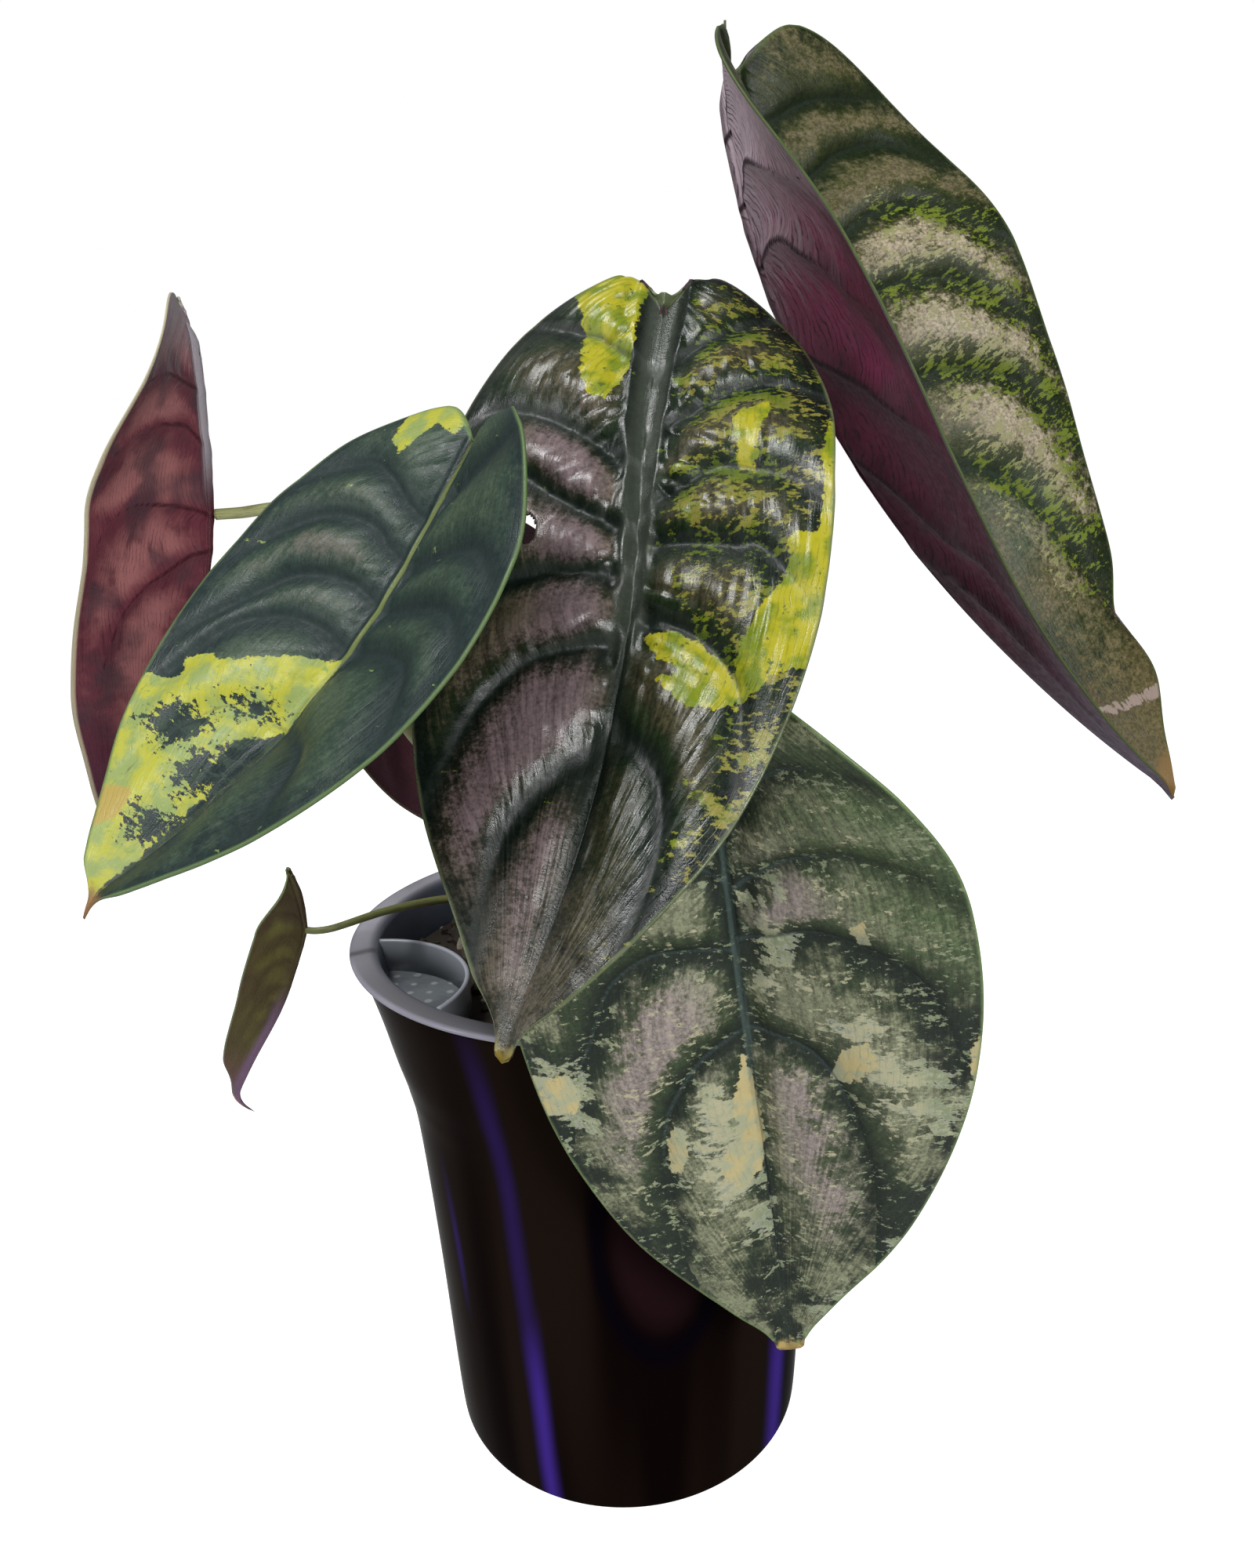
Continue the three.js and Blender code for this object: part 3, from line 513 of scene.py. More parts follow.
def margin_distance(leaf, across, along, out):
    rim = np.linspace(0, TIP_VEIN, 241)
    margin = np.vstack([np.stack(flat_point(leaf, rim, half * np.ones(241), np.ones(241)), -1)
                        for half in (-1, 1)])
    edge = np.hypot(across[:, None] - margin[None, :, 0], along[:, None] - margin[None, :, 1])
    return np.where(out > 0.999, 0, edge.min(1))


# The patterns that each point of a blade carries for its materials, and how soft in millimetres
# each marking is at its outline, in the order of the last two patterns
PATTERNS = ("blade", "veining", "form", "tint", "shade")
MARK_GROUPS = (dict(gold=5, marble=12, sheen=12), dict(plain=14, dark=6, peach=4))


def read_blade(leaf_name, vein, side, out):
    """Place, thickness and patterns of a blade at many points."""
    leaf, finish = LEAVES[leaf_name], FINISH[leaf_name]
    across, along, down, near_tip, behind = outline_point(leaf_name, vein, side, out)
    phase, nearest, gap = np.zeros_like(out), np.zeros_like(out), np.zeros_like(out)
    for half in (-1, 1):
        mine = side == half
        phase[mine], nearest[mine], gap[mine] = read_veins(
            leaf_name, half, across[mine], along[mine])
    edge = margin_distance(leaf, across, along, out)
    wide = leaf["width"]
    small = wide / 80  # the ribs and grooves are given for a blade 80 wide
    x = np.abs(across)
    ahead = ramp(along, 0, 0.22 * leaf["length"])
    apart = finish["band"] * np.where(along < 0, 0.45 + 0.55 * ease(behind) ** 0.7,
                                      0.45 * (1 - ahead))
    fade = (1 - down ** 4) * ramp(vein, 0, 0.5) * ramp(TIP_VEIN - vein, 0, 0.6)

    # blisters between the main veins, steeper on their lower side
    share = phase - np.floor(phase)
    crest = np.sin(math.pi * share ** 1.3) ** 0.85 * np.clip(gap / 13, 0.3, 1)
    rise = 1 - np.exp(-np.maximum(x - apart, 0) / (finish["shoulder"] * wide / 2))
    ends = ramp(vein, 0, 0.8) * ramp(TIP_VEIN - vein, 0, 0.9)
    crest = crest * rise * (1 - out ** 3.2) * ends
    relief = leaf["puff"] * crest
    relief -= finish["groove"] * hump(nearest, 1.5 * small) * (1 - 0.6 * out) * fade

    # the midrib: one fine rib, which parts into two with a smooth band between them behind
    # the stalk and sinks to a groove near the tip
    sunk = ramp(down, finish["rib_end"], 0.08)
    relief += 0.60 * small * (1 - 1.5 * sunk) * fade * hump(x - apart, 1.1 * small)
    relief -= 0.30 * small * fade * hump(x - apart - 2.4 * small, 1.5 * small)
    relief -= 0.30 * apart * np.clip(1 - (x / (apart + 0.01)) ** 2, 0, 1) * fade

    # creases that run out and down from the midrib, fine folds from vein to vein, and lumps
    seed = 11 + sorted(LEAVES).index(leaf_name)
    ruck = soft_noise(along / 3.4 + side * 17.3 - x * 0.16, x / 12 + 9, seed)
    crease = (1 - np.abs(2 * ruck - 1)) ** 3
    off = x - apart - 1.5
    beside = np.exp(-np.maximum(off, 0) / 8) * np.clip((off + 1) / 2.5, 0, 1)
    relief -= finish["pucker"] * crease * beside * fade
    folds = wobble(out * 26 + side * 5, phase * 2.2, seed + 40)
    relief += (0.15 + finish["pucker"] * 0.35) * folds * crest
    lumps = wobble(across / 5.5 + 40, along / 5.5 + 40, seed + 80)
    relief += 0.5 * lumps * crest * (0.5 + 0.5 * finish["pucker"])
    hills = wobble(across / 14 + 40, along / 14 + 40, seed + 90)
    relief += 1.6 * small * hills * rise * ends * (1 - out ** 4)
    wave = wobble(vein * 1.4 + 3, side * 7.5 + 20, seed + 120)
    relief += 1.3 * small * wave * out ** 4 * ends

    place = raise_blade(leaf, across, along, side, relief + BLADE_HALF)
    place += np.array(finish["tip"]) * (near_tip ** finish["hook"])[:, None]
    first, power = finish["rise"]
    horn = np.clip((behind - first) / (1 - first), 0, 1) ** power
    place += np.array(finish["horn"]) * horn[:, None]
    place += np.array(finish["sway"]) * ramp(down, 0.5, 0.35)[:, None]
    for half, at, reach, shift, sharp in finish["spikes"]:
        near = (np.abs(vein - at) / reach) ** sharp
        pull = np.where(side == half, np.exp(-near) * out ** 3, 0)
        place += np.array(shift) * pull[:, None]
    rib = (1.1 * small * hump(x, 1.5 * small)
           + 0.4 * small * hump(nearest, 0.8 * small) * (1 - out)
           * np.clip(x / (8 * small), 0, 1))
    thick = 0.5 + 0.3 * np.clip(edge / 4, 0, 1) + rib * (1 - down ** 2) * ends
    tint, shade = ([marking(leaf_name, kind, soft, across, along) for kind, soft in group.items()]
                   for group in MARK_GROUPS)
    patterns = [(across, along, side), (phase, nearest, out), (edge, crest, down), tint, shade]
    return place, thick, {key: np.stack(values, -1) for key, values in zip(PATTERNS, patterns)}


def make_blade(leaf_name, rows, columns):
    """A leaf blade: a grid laid on the bent leaf, then given its thickness and its ribs."""
    bm = bmesh.new()
    layers = {key: bm.verts.layers.float_vector.new(key) for key in PATTERNS + ("body",)}
    bmesh.ops.create_grid(bm, x_segments=2 * columns, y_segments=rows, size=1)
    grid = np.array([v.co[:2] for v in bm.verts])
    side = np.where(grid[:, 0] < 0, -1.0, 1.0)
    out = np.abs(grid[:, 0]) ** 1.2
    out[out < 1e-4] = 0
    vein = np.clip((grid[:, 1] + 1) / 2 * TIP_VEIN, 0, TIP_VEIN)
    place, thick, patterns = read_blade(leaf_name, vein, side, out)
    for i, vert in enumerate(bm.verts):
        vert.co = place[i] * MM
        for key in PATTERNS:
            vert[layers[key]] = patterns[key][i]
        vert[layers["body"]] = (thick[i] * MM, 0, 0)
    bmesh.ops.remove_doubles(bm, verts=bm.verts[:], dist=1e-6)
    if BITE["leaf"] == leaf_name:
        bite_hole(bm, layers["blade"])
    up = Vector(leaf_axes(LEAVES[leaf_name])[2])
    facing = sum((face.normal * face.calc_area() for face in bm.faces), Vector())
    if facing.dot(up) < 0:
        bmesh.ops.reverse_faces(bm, faces=bm.faces[:])
    bm.normal_update()
    steady = sum((vert.normal for vert in bm.verts if 0.90 < vert[layers["form"]][2] < 0.94),
                 Vector()).normalized()
    for vert in bm.verts:
        hold = min(max((vert[layers["form"]][2] - 0.94) / 0.03, 0), 1)
        through = vert.normal.lerp(steady, hold).normalized()
        vert[layers["body"]] = through * vert[layers["body"]][0]
    made = bmesh.ops.extrude_face_region(bm, geom=bm.faces[:], use_keep_orig=True)["geom"]
    for part in made:
        if isinstance(part, bmesh.types.BMVert):
            part.co -= part[layers["body"]]
        elif isinstance(part, bmesh.types.BMFace):
            part.material_index = 1
    bmesh.ops.recalc_face_normals(bm, faces=bm.faces[:])
    bm.verts.layers.float_vector.remove(bm.verts.layers.float_vector["body"])
    return finish_mesh(bm, f"blade_{leaf_name}", f"leaf_{leaf_name}")


def bite_hole(bm, blade):
    """Takes out the faces inside the bitten spot."""
    leaf = LEAVES[BITE["leaf"]]
    centre = Vector((BITE["across"] * leaf["width"] / 2,
                     (BITE["down"] - leaf["lobe"]) * leaf["length"]))

    def reach(vert):
        off = Vector(vert[blade][:2]) - centre
        return math.hypot(off.x / BITE["wide"], off.y / BITE["tall"])

    gone = [face for face in bm.faces if all(reach(vert) < 1.1 for vert in face.verts)]
    bmesh.ops.delete(bm, geom=gone, context="FACES")


def add_object(name, data):
    thing = bpy.data.objects.new(name, data)
    bpy.context.scene.collection.objects.link(thing)
    return thing


def mesh_object(bm, name, smooth=True):
    mesh = bpy.data.meshes.new(name)
    bm.to_mesh(mesh)
    bm.free()
    if smooth:
        mesh.shade_smooth()
    return add_object(name, mesh)


def finish_mesh(bm, name, node, smooth=True):
    """Makes a piece that stands for a solid, and hides the solid of that name."""
    piece = mesh_object(bm, name, smooth)
    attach(piece, "root")
    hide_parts(node)
    return piece


# ---- Shader helpers ----
class Value:
    """A value in a shader. Plain arithmetic on it adds Math nodes to its tree."""

    def __init__(self, tree, socket):
        self.tree, self.socket = tree, socket

    def __add__(self, other):
        return calc("ADD", self, other)

    def __sub__(self, other):
        return calc("SUBTRACT", self, other)

    def __rsub__(self, other):
        return calc("SUBTRACT", other, self)

    def __mul__(self, other):
        return calc("MULTIPLY", self, other)

    def __truediv__(self, other):
        return calc("DIVIDE", self, other)


def feed(value, socket):
    if isinstance(value, Value):
        value.tree.links.new(value.socket, socket)
    elif socket.type == "RGBA":
        socket.default_value = (*value, 1)
    else:
        socket.default_value = value


def feed_all(values, sockets):
    for key, value in values.items():
        feed(value, sockets[key])


def tree_of(*values):
    return next(value.tree for value in values if isinstance(value, Value))


def add_node(tree, kind, values=None, out=0, **settings):
    """Adds a node, sets it up, feeds its inputs and gives one of its outputs."""
    node = tree.nodes.new(f"ShaderNode{kind}")
    for name, setting in settings.items():
        setattr(node, name, setting)
    feed_all(values or {}, node.inputs)
    return Value(tree, node.outputs[out])


def calc(operation, first, second=0.0):
    return add_node(tree_of(first, second), "Math", {0: first, 1: second}, operation=operation)


def blend(factor, first, second, kind="MIX"):
    return add_node(tree_of(factor, first, second), "Mix", {0: factor, 6: first, 7: second}, 2,
                    data_type="RGBA", blend_type=kind)


def paint(colour, *coats):
    """Lays coats over a colour, each a mask and the colour that it lets through."""
    for mask, tone in coats:
        colour = blend(mask, colour, tone)
    return colour


def step_up(value, low, high, start=0.0, end=1.0):
    """Rises smoothly from start to end as the value goes from low to high."""
    return add_node(value.tree, "MapRange", {0: value, 1: low, 2: high, 3: start, 4: end},
                    interpolation_type="SMOOTHSTEP")


def soft_line(distance, width):
    """1 on the line, falling to 0 at the width."""
    return step_up(distance, 0.0, width, 1.0, 0.0)


def noise(vector, scale, detail=3.0, roughness=0.55):
    return add_node(vector.tree, "TexNoise", {"Vector": vector, "Scale": scale,
                                              "Detail": detail, "Roughness": roughness}, "Fac")


def attribute(tree, name):
    return add_node(tree, "Attribute", out="Vector", attribute_name=name)


def object_place(tree):
    return add_node(tree, "TexCoord", out="Object")


def joined(x, y, z=0.0):
    return add_node(tree_of(x, y, z), "CombineXYZ", {0: x, 1: y, 2: z})


def parts_of(vector):
    node = vector.tree.nodes.new("ShaderNodeSeparateXYZ")
    feed(vector, node.inputs[0])
    return [Value(vector.tree, socket) for socket in node.outputs]


def length_of(x, y):
    return calc("SQRT", x * x + y * y)


def bump(height, strength, depth):
    return add_node(height.tree, "Bump", {"Strength": strength, "Distance": depth * MM,
                                          "Height": height})


def start_group(name, *labels):
    """A node group with its inputs named, as its tree and the inputs as values."""
    tree = bpy.data.node_groups.new(name, "ShaderNodeTree")
    for label in labels:
        tree.interface.new_socket(label, in_out="INPUT", socket_type="NodeSocketFloat")
    given = tree.nodes.new("NodeGroupInput").outputs
    return tree, [Value(tree, given[label]) for label in labels]


def finish_group(tree, results):
    """Names the outputs of a node group and feeds them."""
    for label, value in results.items():
        kind = "Vector" if value.socket.type == "VECTOR" else "Float"
        tree.interface.new_socket(label, in_out="OUTPUT", socket_type=f"NodeSocket{kind}")
    feed_all(results, tree.nodes.new("NodeGroupOutput").inputs)
    return tree


def use_group(tree, group, values):
    node = tree.nodes.new("ShaderNodeGroup")
    node.node_tree = group
    feed_all(values, node.inputs)
    return {socket.name: Value(tree, socket) for socket in node.outputs}


def new_material(name):
    material = bpy.data.materials.new(name)
    material.use_nodes = True
    tree = material.node_tree
    tree.nodes.clear()
    shader = tree.nodes.new("ShaderNodeBsdfPrincipled")
    output = tree.nodes.new("ShaderNodeOutputMaterial")
    tree.links.new(shader.outputs[0], output.inputs[0])
    return material, tree, shader.inputs


def make_vein_group():
    """Main veins, midrib, margin, the fine nested veinlets and streaks across the blisters."""
    tree, (vein_width, rib_width, veinlets, bow) = start_group(
        "leaf_veins", "Vein Width", "Rib Width", "Veinlets", "Bow")
    blade = attribute(tree, "blade")
    across, _, half = parts_of(blade)
    phase, nearest, outward = parts_of(attribute(tree, "veining"))
    edge, crest, down = parts_of(attribute(tree, "form"))
    width = vein_width * step_up(outward, 0.0, 1.0, 1.0, 0.45)
    line = step_up(nearest / width, 0.25, 1.0, 1.0, 0.0)
    rib = step_up(calc("ABSOLUTE", across) / rib_width, 0.5, 1.0, 1.0, 0.0)
    share = calc("FRACT", phase)
    between = share - 0.5
    arc = between * between * bow
    turns = outward * veinlets + (arc + noise(blade, 0.16, 2.0) * 2.2)
    fine = (step_up(calc("SINE", turns * TAU), 0.45, 0.98)
            * step_up(noise(blade, 0.35, 3.0), 0.35, 0.62))
    long_way = joined(outward * 34.0 + arc * 1.5, phase * 1.6, half * 7.0)
    return finish_group(tree, {
        "Main": line, "Rib": rib, "Valley": soft_line(nearest, 5.5),
        "Flank": step_up(share, 0.55, 0.90), "Fine": fine,
        "Streak": noise(long_way, 1.0, 4.0, 0.6), "Margin": soft_line(edge, 0.9),
        "Crest": crest, "Down": down, "Edge": edge, "Out": outward, "Flat": blade})


def make_mark_group():
    """Ragged marking masks: solid patches, soft-edged blotches and fine specks."""
    tree, (blotches, specks, sparse) = start_group("leaf_marks", "Blotches", "Specks", "Sparse")
    blade = attribute(tree, "blade")
    gold, marble, sheen = parts_of(attribute(tree, "tint"))
    plain, dark, peach = parts_of(attribute(tree, "shade"))
    x, y, half = parts_of(blade)
    ragged = (noise(blade, 0.42, 5.0, 0.68) - 0.5) * 0.85
    lying = joined(x * 0.6, y, half)
    clouds = noise(lying, 0.24, 4.0, 0.62)
    grain = noise(lying, 0.85, 5.0, 0.72)
    torn = grain - 0.5
    strewn = calc("MAXIMUM", marble, sparse)
    return finish_group(tree, {
        "Solid": step_up(gold + ragged, 0.47, 0.53),
        "Blotch": step_up(clouds + marble * blotches + torn * 0.55, 0.71, 0.76),
        "Speck": step_up(grain + (clouds - 0.5) * 0.6 + strewn * specks, 0.74, 0.79),
        "Sheen": sheen, "Plain": plain,
        "Dark": step_up(dark + ragged + torn * 2.6, 0.50, 0.58),
        "Peach": step_up(peach + ragged, 0.44, 0.56)})


VEINS = make_vein_group()
MARKINGS = make_mark_group()

# Colours of the upper faces. The painted sheen is a painted highlight on the blister crests:
# its colour inside the sheen outlines and outside them (pale), over a fainter painted sheen.
# Glow is how much of it is left outside them, brush how much lies in strokes, broken how
# spotty it is, clump how coarse its spots are, drift how it thickens and thins over the
# blade, and cover how far down the blisters it reaches; the lower flank of each blister gets
# less of it, as painted shade. Sparse strews specks outside the marble outlines too, and
# flecks are specks that lie in a valley. Valley keeps the blotches out of the valleys, end is
# a colour near the tip, peach that of the peach outlines, and texture how much the fine weave
# shows.
LEFT_LOOK = dict(
    rib_width=0.9, flank_shade=0.2, skirt=0.25, end_sheen=0.1, dark=(0.008, 0.02, 0.019),
    green=(0.022, 0.042, 0.03), plain=(0.022, 0.042, 0.03), painted_sheen=(0.085, 0.085, 0.066),
    pale=(0.06, 0.088, 0.052), faint_sheen=(0.034, 0.06, 0.036), faint_sheen_strength=0.8, glow=0.5, sheen=0.1,
    broken=0.7, rim=0.0, brush=0.3, cover=0.0, blotch=(0.2, 0.28, 0.06), speck=(0.04, 0.07, 0.04),
    fleck=(0.03, 0.06, 0.03), gold=(0.37, 0.375, 0.036), lime=(0.23, 0.295, 0.085),
    line=(0.008, 0.02, 0.018), line_strength=0.4, rib=(0.18, 0.22, 0.05), rib_strength=0.6,
    margin=(0.12, 0.19, 0.07), tip=(0.22, 0.12, 0.05), tip_at=0.955, rough=0.38, gloss=0.28,
    vein=0.8, fine=0.08, grain=0.18, blotches=0.0, specks=0.12, valley=0.0, sparse=0.0, drift=0.9,
    clump=0.0, end=None, peach=(0.36, 0.27, 0.06), texture=0.35)
UPPER = {
    "left": LEFT_LOOK,
    "centre": dict(
        LEFT_LOOK, rib_width=4.2, flank_shade=0.25, skirt=0.1, end_sheen=0.55,
        dark=(0.004, 0.009, 0.006), green=(0.016, 0.03, 0.01), plain=(0.018, 0.032, 0.012),
        painted_sheen=(0.142, 0.104, 0.108), pale=(0.085, 0.08, 0.032), faint_sheen=(0.042, 0.034, 0.022),
        glow=0.4, sheen=0.4, broken=1.2, rim=1.0, brush=0.5, cover=0.05,
        blotch=(0.07, 0.11, 0.008), speck=(0.2, 0.185, 0.036), fleck=(0.08, 0.12, 0.008),
        gold=(0.35, 0.325, 0.014), lime=(0.15, 0.2, 0.01), line=(0.006, 0.014, 0.009),
        line_strength=0.5, rib=(0.045, 0.056, 0.04), rib_strength=0.65, margin=(0.12, 0.15, 0.07),
        tip=(0.2, 0.14, 0.012), tip_at=0.978, rough=0.24, gloss=0.42, vein=1.0, fine=0.25,
        grain=0.16, blotches=0.18, specks=0.225, texture=0.55),
    "front_right": dict(
        LEFT_LOOK, rib_width=1.1, flank_shade=0.55, skirt=0.4, end_sheen=0.22,
        dark=(0.006, 0.014, 0.007), green=(0.034, 0.056, 0.022), plain=(0.085, 0.13, 0.05),
        painted_sheen=(0.27, 0.228, 0.208), pale=(0.225, 0.24, 0.145), faint_sheen=(0.11, 0.122, 0.07),
        faint_sheen_strength=0.95, glow=0.85, sheen=0.12, broken=1.8, brush=0.4, cover=0.2,
        blotch=(0.32, 0.35, 0.26), speck=(0.46, 0.44, 0.28), fleck=(0.25, 0.29, 0.17),
        gold=(0.55, 0.46, 0.22), lime=(0.4, 0.42, 0.27), line=(0.035, 0.06, 0.06),
        line_strength=0.7, rib=(0.06, 0.095, 0.085), rib_strength=0.7, margin=(0.16, 0.24, 0.09),
        tip=(0.6, 0.42, 0.14), tip_at=0.976, rough=0.36, gloss=0.42, vein=0.9, fine=0.1, grain=0.4,
        blotches=0.29, specks=0.26, sparse=0.6, drift=2.4, clump=0.6, texture=0.7),
    "upper_right": dict(
        LEFT_LOOK, rib_width=1.1, flank_shade=0.75, skirt=0.3, end_sheen=0.0, dark=(0.006, 0.013, 0.002),
        green=(0.034, 0.042, 0.01), plain=(0.05, 0.085, 0.06), painted_sheen=(0.31, 0.265, 0.185),
        pale=(0.115, 0.098, 0.052), faint_sheen=(0.075, 0.072, 0.028), faint_sheen_strength=0.95, glow=1.0, broken=1.4,
        brush=0.1, cover=0.22, blotch=(0.095, 0.13, 0.01), speck=(0.26, 0.25, 0.12),
        fleck=(0.12, 0.16, 0.014), gold=(0.12, 0.15, 0.02), lime=(0.075, 0.11, 0.012),
        line=(0.006, 0.016, 0.006), line_strength=0.6, rib=(0.01, 0.025, 0.01), rib_strength=0.5,
        margin=(0.075, 0.105, 0.035), tip=(0.17, 0.1, 0.03), rough=0.4, gloss=0.2, vein=1.2,
        fine=0.05, grain=0.2, blotches=0.13, specks=0.22, valley=0.85, drift=1.2, clump=0.75,
        end=(0.105, 0.082, 0.032), peach=(0.26, 0.2, 0.17), texture=0.6),
    "young": dict(LEFT_LOOK, dark=(0.03, 0.035, 0.012), green=(0.07, 0.08, 0.02), rib_strength=0.2,
                  tip=(0.45, 0.24, 0.12), tip_at=0.94),
    "far_left": dict(LEFT_LOOK, rib_strength=0.2, margin=(0.46, 0.42, 0.28)),
    "back": dict(LEFT_LOOK, rib_strength=0.2),
}

# Colours of the undersides. The grey toward the top of the lobes is a painted sheen, and end is
# the colour near the tip.
# Turned is the colour of the strip beside the midrib between the lobes, fine and lines say how
# dark the veinlets and the main veins are, and edge_from is how far down the bright edge begins.
# Smoke is a grey that lies over the blade in clouds. Hidden backs face away in the photo.
FAR_LEFT_BACK = dict(
    base=(0.15, 0.032, 0.048), pale=(0.38, 0.145, 0.145), deep=(0.055, 0.01, 0.022),
    line=(0.05, 0.006, 0.012), edge=(0.58, 0.5, 0.34), lobe_sheen=(0.34, 0.3, 0.32),
    lobe_sheen_at=(0.01, 0.15), end=(0.095, 0.02, 0.05), edge_width=1.4, edge_from=0.09,
    turned=(0.36, 0.34, 0.37), turned_at=(0.24, 0.36, 0.85, 0.0), turned_wide=(1.4, 3.0), vein=0.9,
    fine=0.35, lines=0.9, smoke=(0.07, 0.036, 0.048), smoky=0.75)
HIDDEN_BACK = dict(
    FAR_LEFT_BACK, base=(0.05, 0.012, 0.02), pale=(0.105, 0.03, 0.042), lobe_sheen=(0.06, 0.04, 0.05),
    edge=(0.1, 0.09, 0.05), edge_width=1.0, turned=None, smoky=0.0)
UNDER = {
    "far_left": FAR_LEFT_BACK,
    "upper_right": dict(
        FAR_LEFT_BACK, base=(0.09, 0.012, 0.034), pale=(0.2, 0.022, 0.074),
        deep=(0.024, 0.005, 0.012), line=(0.012, 0.003, 0.007), edge=(0.15, 0.12, 0.15),
        lobe_sheen=(0.48, 0.39, 0.44), lobe_sheen_at=(0.1, 0.36), end=(0.17, 0.1, 0.19), edge_width=0.8,
        edge_from=0.0, turned=None, vein=1.0, fine=0.85, lines=1.0, smoke=(0.11, 0.08, 0.095),
        smoky=0.2),
    "young": dict(
        FAR_LEFT_BACK, base=(0.09, 0.07, 0.025), pale=(0.17, 0.16, 0.042),
        deep=(0.055, 0.04, 0.02), line=(0.075, 0.052, 0.022), edge=(0.15, 0.075, 0.095),
        lobe_sheen=(0.085, 0.085, 0.03), lobe_sheen_at=(0.0, 0.15), end=(0.17, 0.09, 0.095), edge_width=0.3,
        edge_from=0.25, turned=(0.19, 0.115, 0.19), turned_at=(0.45, 0.66, 0.0, 0.9),
        turned_wide=(1.2, 3.6), vein=0.5, fine=0.1, lines=0.25, smoke=(0.06, 0.034, 0.024),
        smoky=0.7),
    **dict.fromkeys(("centre", "left", "front_right", "back"), HIDDEN_BACK),
}


def upper_material(leaf_name):
    look = UPPER[leaf_name]
    material, tree, shader = new_material(f"{leaf_name}_upper_face")
    veins = use_group(tree, VEINS, {"Vein Width": look["vein"], "Rib Width": look["rib_width"],
                                    "Veinlets": 26.0, "Bow": 2.0})
    marks = use_group(tree, MARKINGS, {"Blotches": look["blotches"], "Specks": look["specks"],
                                       "Sparse": look["sparse"]})
    flat, crest, down, streak = (veins[key] for key in ("Flat", "Crest", "Down", "Streak"))
    dark, brush, cover = look["dark"], look["brush"], look["cover"]
    clouds = noise(flat, 0.11)
    mottle = noise(flat, 0.55, 5.0, 0.66)
    dots = noise(flat, 1.3, 5.0, 0.72)

    # the leaf's own random tone, lighter on the blister crests and darker in the valleys as
    # painted light and shade, the painted sheen on its blisters, and the fine weave
    colour = blend(step_up(crest + (clouds * 0.8 + mottle * 0.5), 0.70, 1.30), dark,
                   look["green"])
    brushed = streak * (brush * 1.6) + mottle * ((1 - brush) * 1.6)
    drift = (clouds - 0.5) * look["drift"]
    lift = (crest + brushed) + (drift + marks["Sheen"] * look["sheen"])
    # painted shade: less painted sheen on the lower flank of each blister
    lift = lift - veins["Flank"] * look["flank_shade"]
    lift = lift + step_up(veins["Out"], 0.55, 1.0, 0.0, look["skirt"])
    lift = lift + step_up(down, 0.72, 0.94, 0.0, look["end_sheen"])
    spots = mottle * look["clump"] + dots * (1 - look["clump"])
    # the painted sheen: a painted highlight on the blister crests, broken into spots
    painted_sheen = step_up(lift + (spots - 0.5) * look["broken"], 1.40 - cover, 1.95 - cover)
    glow = step_up(marks["Sheen"], 0.0, 1.0, look["glow"], 1.0)
    colour = paint(
        colour, (step_up(lift, 1.15 - cover, 1.75 - cover) * look["faint_sheen_strength"], look["faint_sheen"]),
        (painted_sheen * glow, blend(marks["Sheen"], look["pale"], look["painted_sheen"])),
        (marks["Plain"] * step_up(clouds, 0.3, 0.7, 0.9, 0.4), look["plain"]),
        # painted shade in the valleys along the veins
        (veins["Valley"] * 0.55, dark))
    if look["end"]:
        end = step_up(down + (mottle - 0.5) * 0.30, 0.78, 0.92, 0.0, 0.75)
        colour = blend(end, colour, look["end"])
    weave = streak * brush + dots * (1 - brush)
    colour = blend(look["texture"], colour, step_up(weave, 0.38, 0.62, 0.40, 1.60), "MULTIPLY")

    # the markings, then the veins, the margin and the tip
    tone = step_up(noise(flat, 0.22, 4.0), 0.40, 0.62)
    high = calc("MAXIMUM", step_up(crest, 0.30, 0.70),
                step_up(veins["Out"], 0.62, 0.80, 0.0, look["rim"]))
    patch = blend(step_up(mottle, 0.60, 0.66), blend(tone, look["gold"], look["lime"]),
                  look["blotch"])
    tip = step_up(down + (mottle - 0.5) * 0.04, look["tip_at"], look["tip_at"] + 0.022)
    colour = paint(
        colour, (marks["Blotch"] * (1.0 - high * look["valley"]),
                 blend(tone, look["blotch"], look["lime"])),
        (marks["Speck"], blend(high, look["fleck"], look["speck"])), (marks["Solid"], patch),
        (marks["Dark"], blend(step_up(mottle, 0.50, 0.56), dark, look["green"])),
        (marks["Peach"], look["peach"]), (veins["Fine"] * look["fine"], dark),
        (veins["Main"] * look["line_strength"], look["line"]),
        (veins["Rib"] * step_up(down, 0.45, 0.62, look["rib_strength"], 0.1), look["rib"]),
        (veins["Margin"] * 0.85, look["margin"]), (tip, look["tip"]))
    rough = look["rough"]
    grain = streak * 0.9 + (noise(flat, 2.4, 4.0, 0.6) - veins["Fine"] * 0.4)
    feed_all({
        "Base Color": colour, "Specular IOR Level": look["gloss"],
        "Roughness": (step_up(mottle, 0.35, 0.65, rough - 0.05, rough + 0.12)
                      + step_up(veins["Valley"], 0.70, 0.95, 0.0, 0.20)),
        "Normal": bump(grain, look["grain"], 0.45)}, shader)
    return material


